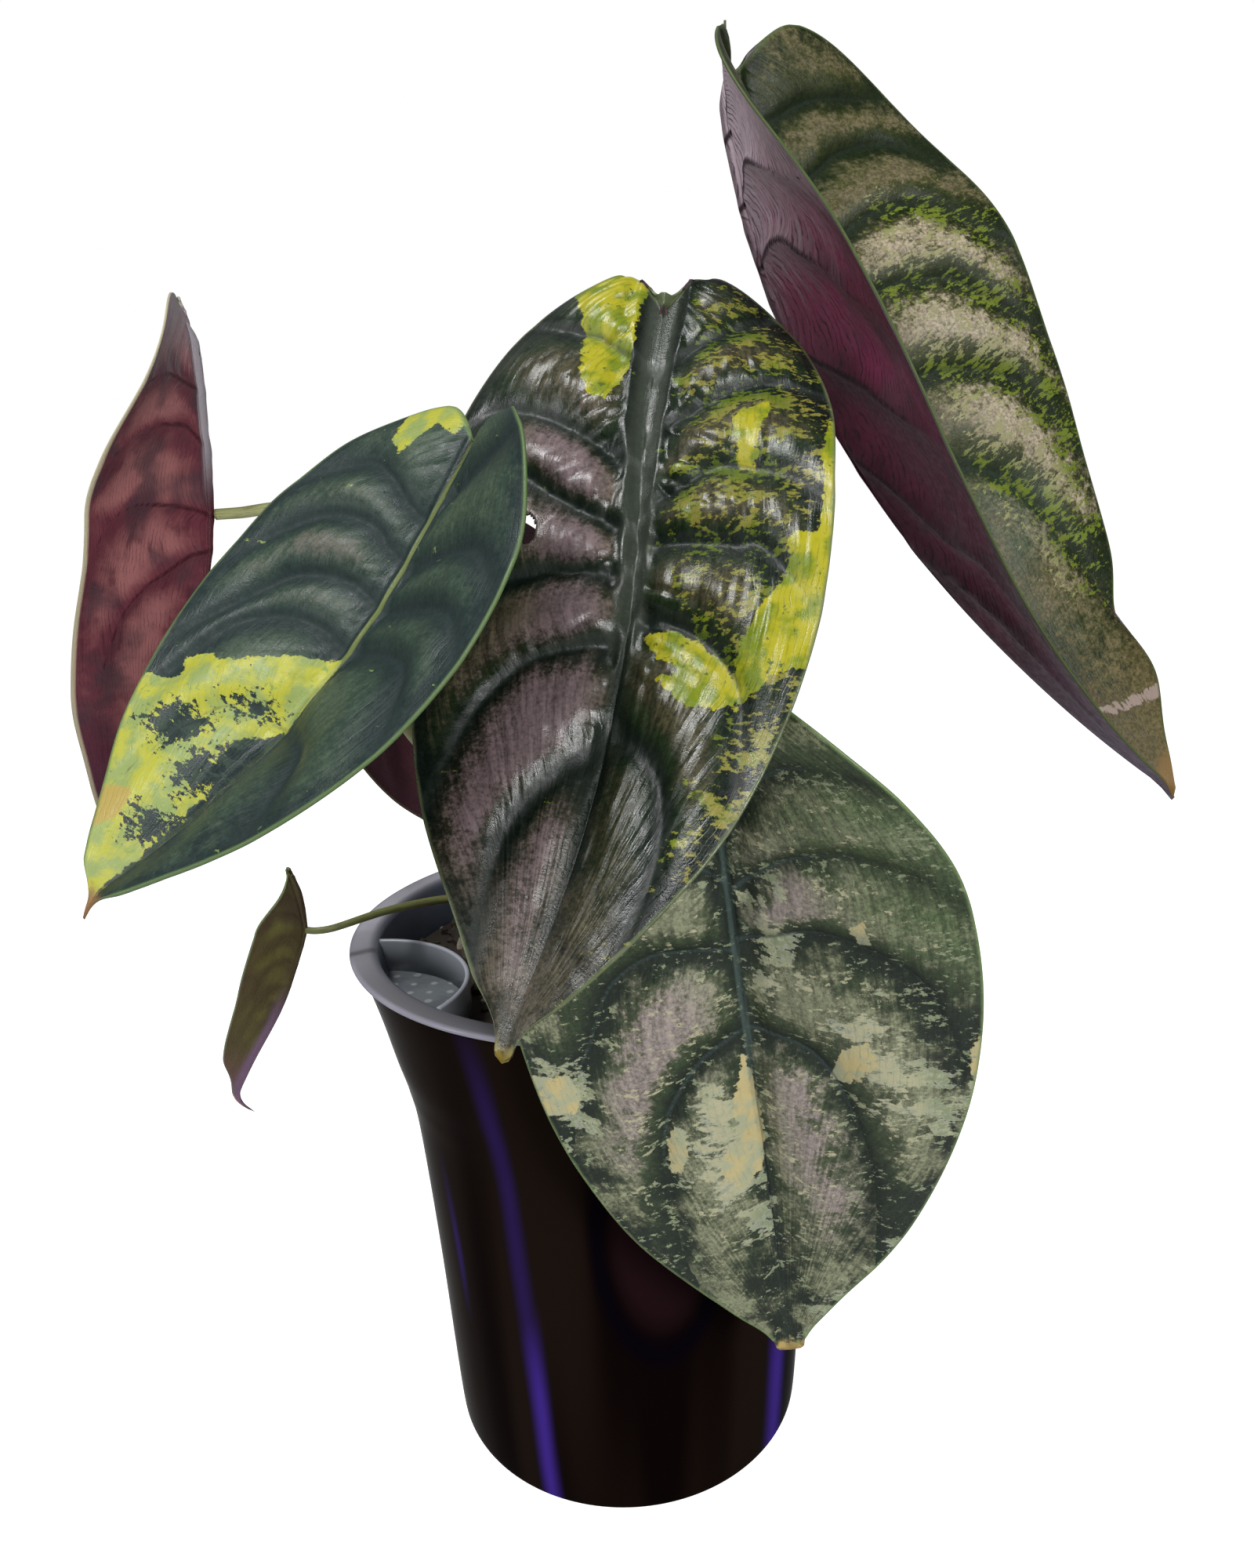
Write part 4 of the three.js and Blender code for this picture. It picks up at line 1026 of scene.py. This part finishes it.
def under_material(leaf_name):
    look = UNDER[leaf_name]
    material, tree, shader = new_material(f"{leaf_name}_underside")
    veins = use_group(tree, VEINS, {"Vein Width": look["vein"], "Rib Width": 1.2,
                                    "Veinlets": 34.0, "Bow": 5.0})
    flat, down, streak, fine = (veins[key] for key in ("Flat", "Down", "Streak", "Fine"))
    clouds = noise(flat, 0.09, 4.0)
    lobe_sheen_reach = down + (streak - 0.5) * 0.25
    colour = paint(
        blend(step_up(veins["Crest"] * 0.7 + clouds, 0.55, 1.05), look["base"], look["pale"]),
        (step_up(streak + clouds, 0.95, 0.75, 0.0, 0.55), look["deep"]),
        (step_up(noise(flat, 0.065, 3.0, 0.5), 0.48, 0.66, 0.0, look["smoky"]), look["smoke"]),
        # painted sheen: grey toward the top of the lobes
        (step_up(lobe_sheen_reach, *look["lobe_sheen_at"], 0.9, 0.0), look["lobe_sheen"]),
        (step_up(down, 0.70, 0.98, 0.0, 0.9), look["end"]),
        (fine * look["fine"], look["deep"]), (veins["Main"] * look["lines"], look["line"]),
        (veins["Rib"] * 0.6, look["line"]))
    if look["turned"]:
        beside = calc("ABSOLUTE", parts_of(flat)[0])
        turned = (step_up(beside, *look["turned_wide"], 1.0, 0.0)
                  * step_up(down, *look["turned_at"]))
        colour = blend(turned, colour, look["turned"])
    width, start = look["edge_width"], look["edge_from"]
    bright = (step_up(veins["Edge"], width * 0.45, width, 0.9, 0.0)
              * step_up(down, start - 0.01, start + 0.02))
    feed_all({
        "Base Color": blend(bright, colour, look["edge"]), "Specular IOR Level": 0.30,
        "Roughness": step_up(noise(flat, 0.7), 0.3, 0.7, 0.40, 0.54),
        "Normal": bump(fine * 0.5 + noise(flat, 2.4, 4.0, 0.6), 0.40, 0.35)}, shader)
    return material


# ---- Stalks ----
def stalk_path(leaf):
    """The line of a stalk from the growing mix to the back of its blade, in millimetres."""
    stalk = leaf["stalk"]
    thin = stalk["radius"][1]
    up = leaf_axes(leaf)[2]
    start = np.array(stalk["start"], float)
    start /= np.linalg.norm(start)
    slant = math.sqrt(max(0, 1 - float(start @ up) ** 2))
    seat = BLADE_HALF + RIB_DEPTH * leaf["length"] / 160 + STALK_GAP + slant * thin
    end = np.array(leaf["attach"]) - up * seat
    x, y = stalk["foot"]
    knots = [(x, y, STALK_FOOT), (x, y, 135), (x, y, 143), *stalk["via"],
             end + start * stalk["lead"], end + start * stalk["lead"] / 4,
             end + up * stalk.get("meet", 0)]
    return centripetal(np.array(knots, float), 240)


def centripetal(knots, count):
    """Points at even spacing on a centripetal curve through the knots."""
    first, last = 2 * knots[0] - knots[1], 2 * knots[-1] - knots[-2]
    knots = np.vstack([first, knots, last])
    walk = []
    for four in zip(knots, knots[1:], knots[2:], knots[3:]):
        t = np.cumsum([0] + [max(np.linalg.norm(b - a), 1e-6) ** 0.5
                             for a, b in zip(four, four[1:])])
        s = np.linspace(t[1], t[2], 40, endpoint=False)[:, None]

        def between(i, j, a, b):
            return (t[j] - s) / (t[j] - t[i]) * a + (s - t[i]) / (t[j] - t[i]) * b

        three = [between(i, i + 1, four[i], four[i + 1]) for i in range(3)]
        two = [between(i, i + 2, three[i], three[i + 1]) for i in range(2)]
        walk.append(between(1, 2, *two))
    walk = np.vstack(walk + [knots[-2][None]])
    run = np.concatenate([[0], np.cumsum(np.linalg.norm(np.diff(walk, axis=0), axis=1))])
    return read_line(run, walk, np.linspace(0, run[-1], count))


def frames_along(path):
    """A sideways pair at each point of a path, carried along without spin."""
    run = np.gradient(path, axis=0)
    run /= np.linalg.norm(run, axis=1)[:, None]
    side = np.cross(run[0], (0.3, 1.0, 0.1))
    pairs = []
    for way in run:
        side = side - way * (side @ way)
        side /= np.linalg.norm(side)
        pairs.append((side, np.cross(way, side)))
    return pairs


def make_tube(path, radius, outline):
    """A closed tube along a path; outline(share, turn) scales it, share being how far along."""
    bm = bmesh.new()
    trace = bm.verts.layers.float_vector.new("trace")
    last = len(path) - 1
    bmesh.ops.create_grid(bm, x_segments=24, y_segments=last, size=1)
    frames = frames_along(path)
    for vert in bm.verts:
        turn = (vert.co.x + 1) * math.pi
        i = round((vert.co.y + 1) / 2 * last)
        side, over = frames[i]
        away = side * math.cos(turn) + over * math.sin(turn)
        vert.co = (path[i] + away * (radius[i] * outline(i / last, turn % TAU))) * MM
        vert[trace] = (math.cos(turn), math.sin(turn), i / last)
    bmesh.ops.remove_doubles(bm, verts=bm.verts[:], dist=1e-7)
    bmesh.ops.holes_fill(bm, edges=[edge for edge in bm.edges if edge.is_boundary], sides=0)
    bmesh.ops.recalc_face_normals(bm, faces=bm.faces[:])
    return bm


def make_stalk(leaf_name):
    leaf = LEAVES[leaf_name]
    path = stalk_path(leaf)
    thick, thin = leaf["stalk"]["radius"]
    share = np.linspace(0, 1, len(path))
    phase = 1.7 * sorted(LEAVES).index(leaf_name)
    knots = wobble(share * 14, share * 0 + phase, 301)
    radius = (thick + (thin - thick) * share) * (1 + 0.05 * knots)

    def outline(share, turn):
        groove = 0.10 * math.exp(-((min(turn, TAU - turn) / 0.5) ** 2)) * (1 - share * 0.5)
        return 1 - groove + 0.02 * math.sin(3 * turn + phase)

    return finish_mesh(make_tube(path, radius, outline), f"stem_{leaf_name}",
                       f"stalk_{leaf_name}")


STALK_LOOKS = {
    "upper_right": ((0.10, 0.05, 0.035), (0.20, 0.22, 0.07)),
    "centre": ((0.09, 0.045, 0.035), (0.16, 0.18, 0.06)),
    "left": ((0.10, 0.05, 0.035), (0.22, 0.24, 0.08)),
    "far_left": ((0.12, 0.07, 0.04), (0.42, 0.45, 0.20)),
    "front_right": ((0.09, 0.045, 0.03), (0.16, 0.16, 0.06)),
    "young": ((0.09, 0.06, 0.03), (0.17, 0.19, 0.06)),
    "back": ((0.09, 0.045, 0.03), (0.16, 0.15, 0.06)),
}


def stalk_material(leaf_name):
    low, high = STALK_LOOKS[leaf_name]
    material, tree, shader = new_material(f"{leaf_name}_stalk_skin")
    x, y, share = parts_of(attribute(tree, "trace"))
    flecks = step_up(noise(joined(x * 1.6, y * 1.6, share * 9.0), 3.2, 4.0, 0.6), 0.50, 0.62)
    colour = blend(step_up(share, 0.1, 0.75), low, high)
    feed_all({"Base Color": blend(flecks * 0.6, colour, low), "Roughness": 0.38,
              "Normal": bump(noise(object_place(tree), 900.0), 0.3, 0.25)}, shader)
    return material


# ---- Pots, growing mix and crown ----
POT_PROFILE = [(46.4, 0), (49.6, 1.6), (50.8, 7), (53.5, 58), (56.2, 96), (58.4, 110),
               (60.9, 120), (63.9, 133), (67.8, 147.3)]
POT_WALL, CUP_WALL, CUP_GAP = 1.6, 1.4, 2
RIM_PROFILE = [(63, 143), (63.6, 146.2), (64, 147.6), (69.3, 147.6), (69.8, 147.8), (70, 148.2),
               (69.9, 148.65), (69.3, 149), (65, 149), (64.1, 148.85), (63.3, 148.4),
               (62.75, 147.8), (62.4, 147), (61.6, 143)]
MIX_TOP, MIX_TOP_RADIUS = 137, 59.2
MIX_FOOT, MIX_FOOT_RADIUS = 14.4, 45.6
LUMPS = 620
CROWN_FOOT = 131.5
POCKET = dict(centre=(-62, -32.5), radius=26.5, wall=1.2, floor=139, top=148,
              reach=62.6)  # reach is how far out the wall runs into the rim
CUP_EDGE = 60.9  # where the pocket's floor meets the cup


def spin_profile(bm, points, steps):
    """Turns a chain of (radius, height) points in millimetres round the Z axis."""
    verts = [bm.verts.new((r * MM, 0, z * MM)) for r, z in points]
    edges = [bm.edges.new(pair) for pair in zip(verts, verts[1:])]
    bmesh.ops.spin(bm, geom=verts + edges, cent=(0, 0, 0), axis=(0, 0, 1), angle=TAU,
                   steps=steps, use_merge=True, use_duplicate=False)
    bmesh.ops.remove_doubles(bm, verts=bm.verts[:], dist=2e-6)
    bmesh.ops.recalc_face_normals(bm, faces=bm.faces[:])


def smooth_chain(points):
    return [tuple(point) for point in smooth_line(points, 8 * (len(points) - 1) + 1)]


def make_pot_outer():
    bm = bmesh.new()
    outside = [(0, 0), (40, 0), (45.4, 0.05)] + smooth_chain(POT_PROFILE)
    inside = [(r - POT_WALL, z) for r, z in smooth_chain(POT_PROFILE[2:])][::-1]
    inside[0] = (POT_PROFILE[-1][0] - POT_WALL, POT_PROFILE[-1][1])
    spin_profile(bm, outside + inside + [(46.8, 4.4), (42, 3.4), (0, 3.4)], 168)
    return finish_mesh(bm, "pot_shell", "pot_outer")


def make_pot_inner():
    """The clear inner pot: a thin cup with a wide rolled rim."""
    bm = bmesh.new()
    wall = [(r - POT_WALL - CUP_GAP, z) for r, z in POT_PROFILE[3:8] if z != 110]
    cup = [(0, 12.4), (46.6, 12.4), (47.6, 14)] + wall
    bore = [(r - CUP_WALL, z) for r, z in wall][::-1] + [(46.2, 15), (45.2, 13.8), (0, 13.8)]
    spin_profile(bm, cup + RIM_PROFILE + bore, 192)
    return finish_mesh(bm, "inner_pot_cup", "pot_inner")


def make_pocket_wall():
    """The curved wall of the watering pocket, from rim to rim."""
    bm = bmesh.new()
    cx, cy = POCKET["centre"]
    radius = POCKET["radius"]
    turns = [t for t in np.linspace(0, TAU, 721)
             if math.hypot(cx + radius * math.cos(t), cy + radius * math.sin(t))
             < POCKET["reach"]]
    gap = max(range(1, len(turns)), key=lambda i: turns[i] - turns[i - 1])
    if turns[gap] - turns[gap - 1] > 0.1:
        first, last = turns[gap] - TAU, turns[gap - 1]
    else:
        first, last = turns[0], turns[-1]
    low, high = POCKET["floor"] - 2.5, POCKET["top"]
    outer, inner = radius + POCKET["wall"] / 2, radius - POCKET["wall"] / 2
    ring = [(outer, low), (outer, high - 0.4), (outer - 0.3, high), (inner + 0.3, high),
            (inner, high - 0.4), (inner, low)]
    face = bm.faces.new([bm.verts.new(((cx + r * math.cos(first)) * MM,
                                       (cy + r * math.sin(first)) * MM, z * MM))
                         for r, z in ring])
    bmesh.ops.spin(bm, geom=[face], cent=(cx * MM, cy * MM, 0), axis=(0, 0, 1),
                   angle=last - first, steps=72, use_merge=False, use_duplicate=False)
    bmesh.ops.recalc_face_normals(bm, faces=bm.faces[:])
    return finish_mesh(bm, "pocket_wall", "pot_inner")


def make_pocket_floor():
    """A square grid cut to the pocket and the cup, with its edge pulled to both."""
    bm = bmesh.new()
    centre, radius = Vector(POCKET["centre"]), POCKET["radius"]
    bmesh.ops.create_grid(bm, x_segments=60, y_segments=60, size=30 * MM)
    bmesh.ops.translate(bm, vec=(*(centre * MM), POCKET["floor"] * MM), verts=bm.verts[:])
    gone = [face for face in bm.faces
            if (face.calc_center_median().xy / MM - centre).length > radius
            or face.calc_center_median().xy.length / MM > CUP_EDGE + 0.5]
    bmesh.ops.delete(bm, geom=gone, context="FACES")
    for vert in bm.verts:
        if not vert.is_boundary:
            continue
        away = vert.co.xy / MM - centre
        if away.length > radius - POCKET["wall"]:
            vert.co.xy = (centre + away.normalized() * radius) * MM
        if vert.co.xy.length / MM > CUP_EDGE - 0.3:
            vert.co.xy = vert.co.xy.normalized() * CUP_EDGE * MM
    bmesh.ops.solidify(bm, geom=bm.faces[:], thickness=1.0 * MM)
    bmesh.ops.recalc_face_normals(bm, faces=bm.faces[:])
    return finish_mesh(bm, "pocket_floor", "pot_inner", smooth=False)


def make_mix():
    """Bark, grit and crumbs over the flat bed of growing mix."""
    rng = np.random.RandomState(4)
    bm = bmesh.new()
    tone = bm.verts.layers.float_vector.new("tone")
    bmesh.ops.create_circle(bm, cap_ends=True, segments=96, radius=MIX_TOP_RADIUS * MM)
    made = bmesh.ops.extrude_face_region(bm, geom=bm.faces[:])["geom"]
    for vert in [part for part in made if isinstance(part, bmesh.types.BMVert)]:
        vert.co.z = (MIX_TOP - 0.6) * MM
    for vert in bm.verts:
        if vert.co.z == 0:
            vert.co.z = MIX_FOOT * MM
            vert.co.xy *= MIX_FOOT_RADIUS / MIX_TOP_RADIUS
        vert[tone] = (0.15, 0.3, 0.2)
    pocket = Vector(POCKET["centre"])
    for _ in range(LUMPS):
        turn, reach = rng.uniform(0, TAU), 59 * math.sqrt(rng.rand())
        x, y = reach * math.cos(turn), reach * math.sin(turn)
        size = rng.choice([1.2, 2.0, 3.2], p=[0.45, 0.38, 0.17]) * rng.uniform(0.8, 1.3)
        if (reach + size > MIX_TOP_RADIUS or (Vector((x, y)) - pocket).length
                < POCKET["radius"] + POCKET["wall"] + size):
            continue
        shape = Matrix.Diagonal((*(size * rng.uniform(0.7, 1.3, 3)), 1))
        turned = Matrix.Rotation(rng.uniform(0, TAU), 4, "Z") @ Matrix.Rotation(
            rng.uniform(-0.5, 0.5), 4, "X")
        height = MIX_TOP - 0.4 + rng.uniform(-0.2, 0.5) * size
        place = Matrix.Translation(Vector((x, y, height)) * MM)
        lump = bmesh.ops.create_icosphere(bm, subdivisions=1, radius=MM,
                                          matrix=place @ turned @ shape)["verts"]
        shade = (rng.rand() ** 2.2, rng.rand(), rng.rand())
        for vert in lump:
            vert.co += Vector(rng.uniform(-0.18, 0.18, 3) * size) * MM
            vert[tone] = shade
    bmesh.ops.recalc_face_normals(bm, faces=bm.faces[:])
    return finish_mesh(bm, "potting_mix", "growing_mix", smooth=False)


def make_crown():
    """The dome of old leaf bases with papery brown scales round it."""
    bm = bmesh.new()
    dome = [(0, CROWN_FOOT), (14.5, CROWN_FOOT), (14.5, 137), (13.8, 138.6), (13, 139.6),
            (11.2, 140.8), (9, 141.4), (6, 142.0), (4, 142.2), (0, 142.3)]
    spin_profile(bm, dome, 72)
    for vert in bm.verts:
        x, y = vert.co.x / MM, vert.co.y / MM
        if vert.co.z > 136 * MM:
            rise = wobble(np.array([x / 3 + 20]), np.array([y / 3 + 20]), 77)[0]
            vert.co.z += rise * 1.2 * MM
    pieces = [finish_mesh(bm, "leaf_base_dome", "crown")]
    rng = np.random.RandomState(8)
    for leaf_name, leaf in LEAVES.items():
        x, y = leaf["stalk"]["foot"]
        thick = leaf["stalk"]["radius"][0]
        tall = 14 if leaf_name != "young" else 7
        bm = bmesh.new()
        bmesh.ops.create_grid(bm, x_segments=20, y_segments=14, size=1)
        lean = rng.uniform(0, TAU)
        for vert in bm.verts:
            turn = vert.co.x * 2.4 + lean
            up = (vert.co.y + 1) / 2
            wide = thick + 1.5 - 1.1 * up + 0.35 * math.sin(5 * turn + leaf["droop"])
            top = tall * (1 - 0.45 * abs(vert.co.x) ** 2)
            vert.co = Vector((x + wide * math.cos(turn), y + wide * math.sin(turn),
                              138.5 + top * up)) * MM
        bmesh.ops.solidify(bm, geom=bm.faces[:], thickness=0.35 * MM)
        bmesh.ops.recalc_face_normals(bm, faces=bm.faces[:])
        pieces.append(finish_mesh(bm, f"sheath_{leaf_name}", "crown"))
    return pieces


# Painted violet reflections on the pot: turn at the foot, lean with height, half-width, lowest,
# highest, strength
PAINTED_REFLECTIONS = [(-0.425, -0.60, 0.085, -0.03, 0.075, 1.0), (-0.44, -0.50, 0.075, -0.03, 0.16, 0.28),
           (-0.88, -0.60, 0.050, 0.045, 0.105, 0.45), (0.93, 0.0, 0.130, -0.03, 0.070, 1.0),
           (2.35, 0.5, 0.08, -0.02, 0.14, 0.5), (-2.30, -0.5, 0.07, -0.02, 0.14, 0.5)]


def pot_material():
    """Near-black glossy shell with upright painted violet reflections and a darker bow low on
    the front.
    """
    material, tree, shader = new_material("pot_shell_gloss")
    x, y, z = parts_of(object_place(tree))
    turn = calc("ARCTAN2", x, y * -1.0)
    swayed = turn + (noise(joined(turn, z * 3.0), 3.0, 2.0) - 0.5) * 0.06
    # painted reflections of violet lights, as upright bands round the shell
    violet_reflection = None
    for foot, lean, wide, low, high, strength in PAINTED_REFLECTIONS:
        off = calc("ABSOLUTE", swayed - (z * lean + foot))
        band = step_up(off, 0.0, wide, strength, 0.0) * (
            step_up(z, low, low + 0.03) * step_up(z, high - 0.045, high, 1.0, 0.0))
        violet_reflection = band if violet_reflection is None else calc("MAXIMUM", violet_reflection, band)
    warm = blend(step_up(noise(joined(turn, z * 1.2), 2.2, 1.0), 0.40, 0.60),
                 (0.0035, 0.0015, 0.0015), (0.0110, 0.0065, 0.0045))
    reach = length_of((turn - 0.20) / 0.30, (z - 0.088) / 0.036)
    bow = soft_line(calc("ABSOLUTE", reach - 1.0), 0.22)
    feed_all({
        "Base Color": paint(warm, (step_up(reach, 0.6, 0.95, 0.8, 0.0), (0.016, 0.006, 0.008)),
                            (bow, (0.0020, 0.0010, 0.0030)), (violet_reflection, (0.048, 0.021, 0.23))),
        "Roughness": 0.10, "IOR": 1.10, "Specular IOR Level": 0.06}, shader)
    return material


def inner_pot_material():
    """Clear grey plastic: pale at the rim's edge, slate blue down the wall."""
    material, tree, shader = new_material("inner_pot_plastic")
    place = object_place(tree)
    x, y, z = parts_of(place)
    reach = length_of(x, y)
    # painted shade: the flange darker at its front and lighter at its back
    flange = blend(step_up(y, -0.045, 0.02), (0.150, 0.150, 0.162), (0.52, 0.51, 0.58))
    colour = paint(
        blend(step_up(z, 0.120, 0.1475), (0.016, 0.024, 0.042), (0.075, 0.090, 0.125)),
        (step_up(reach, 0.0622, 0.0655), flange),
        (step_up(reach, 0.0685, 0.0698), (0.30, 0.29, 0.35)),
        (step_up(noise(place, 60.0), 0.35, 0.7, 0.0, 0.25), (0.15, 0.16, 0.20)))
    feed_all({"Base Color": colour, "Roughness": 0.26, "Specular IOR Level": 0.35}, shader)
    return material


def pocket_material():
    """Frosted plastic of the watering pocket, with pale spots of light on its floor."""
    material, tree, shader = new_material("pocket_plastic")
    place = object_place(tree)
    x, y, z = parts_of(place)
    low = step_up(z, 0.1392, 0.1396, 1.0, 0.0)
    haze = step_up(noise(place, 110.0), 0.42, 0.62)
    cells = add_node(tree, "TexVoronoi", {"Vector": joined(x, y), "Scale": 190.0,
                                          "Randomness": 0.15}, "Distance")
    colour = paint(
        blend(step_up(z, 0.1385, 0.1470), (0.130, 0.145, 0.160), (0.21, 0.23, 0.25)),
        (step_up(z, 0.1472, 0.1479), (0.36, 0.38, 0.43)), (haze * low, (0.17, 0.19, 0.20)),
        (step_up(cells, 0.14, 0.26, 0.8, 0.0) * low, (0.36, 0.37, 0.37)))
    feed_all({"Base Color": colour, "Roughness": 0.24, "Specular IOR Level": 0.35}, shader)
    return material


def mix_material():
    material, tree, shader = new_material("potting_mix_crumbs")
    pale, warm = parts_of(attribute(tree, "tone"))[:2]
    place = object_place(tree)
    colour = paint(
        blend(warm, (0.018, 0.014, 0.010), (0.060, 0.046, 0.030)),
        (step_up(pale, 0.45, 0.75), (0.40, 0.35, 0.26)),
        (noise(place, 700.0, 4.0) * 0.6, (0.02, 0.012, 0.008)))
    feed_all({"Base Color": colour, "Roughness": 0.85,
              "Normal": bump(noise(place, 1500.0, 4.0), 0.6, 0.4)}, shader)
    return material


def crown_material():
    material, tree, shader = new_material("crown_scales")
    x, y, z = parts_of(object_place(tree))
    streaks = noise(joined(x, y, z * 0.12), 1400.0)
    colour = blend(step_up(streaks, 0.4, 0.65), (0.05, 0.028, 0.014), (0.22, 0.15, 0.07))
    feed_all({"Base Color": colour, "Roughness": 0.65, "Normal": bump(streaks, 0.5, 0.3)},
             shader)
    return material


def dress(piece, *materials):
    for material in materials:
        piece.data.materials.append(material)


# ---- Stage, lights and camera ----
def make_stage():
    bm = bmesh.new()
    bmesh.ops.create_circle(bm, cap_ends=True, segments=96, radius=6)
    floor = mesh_object(bm, "studio_floor", smooth=False)
    material, tree, shader = new_material("studio_floor_paper")
    feed_all({"Base Color": (0.55, 0.55, 0.55), "Roughness": 0.9, "Emission Color": (1, 1, 1),
              "Emission Strength": add_node(tree, "LightPath", out="Is Camera Ray")}, shader)
    dress(floor, material)
    world = bpy.data.worlds.new("studio_air")
    world.use_nodes = True
    tree = world.node_tree
    seen = add_node(tree, "LightPath", out="Is Camera Ray")
    feed_all({"Color": (1, 1, 1), "Strength": seen * 0.80 + 0.20},
             tree.nodes["Background"].inputs)
    bpy.context.scene.world = world


def add_light(name, place, aim, size, power):
    data = bpy.data.lights.new(name, "AREA")
    data.shape = "RECTANGLE"
    data.size, data.size_y = size
    data.energy = power
    lamp = add_object(name, data)
    lamp.location = place
    lamp.rotation_euler = (Vector(aim) - Vector(place)).to_track_quat("-Z", "Y").to_euler()
    lamp.visible_camera = False


def set_camera():
    data = bpy.data.cameras.new("photo_camera")
    data.lens = 25.99
    data.sensor_width = 36
    data.clip_start = 0.01
    camera = add_object("photo_camera", data)
    camera.matrix_world = (Matrix.Translation((0.0058, -0.289, 0.268))
                           @ Matrix.Rotation(math.radians(90 - 15.6), 4, "X")
                           @ Matrix.Rotation(math.radians(-2), 4, "Z"))
    bpy.context.scene.camera = camera


# Rows down each blade, and columns from its midrib to its margin
GRIDS = {"upper_right": (200, 92), "centre": (210, 90), "left": (150, 74), "far_left": (150, 74),
         "front_right": (190, 88), "young": (110, 40), "back": (120, 60)}
for leaf_name, (rows, columns) in GRIDS.items():
    dress(make_blade(leaf_name, rows, columns), upper_material(leaf_name),
          under_material(leaf_name))
    dress(make_stalk(leaf_name), stalk_material(leaf_name))
dress(make_pot_outer(), pot_material())
dress(make_pot_inner(), inner_pot_material())
pocket_plastic = pocket_material()
for part in (make_pocket_wall(), make_pocket_floor()):
    dress(part, pocket_plastic)
dress(make_mix(), mix_material())
scales = crown_material()
for part in make_crown():
    dress(part, scales)

make_stage()
add_light("softbox_above", (-0.45, -0.30, 1.25), (0, 0, 0.22), (0.36, 0.36), 9)
add_light("softbox_left", (-1.15, -0.45, 0.60), (0, 0, 0.2), (0.25, 0.7), 4)
add_light("softbox_front", (0.55, -1.05, 0.70), (0.02, -0.08, 0.17), (0.36, 0.36), 11)
bpy.context.scene.view_settings.view_transform = "Standard"
set_camera()
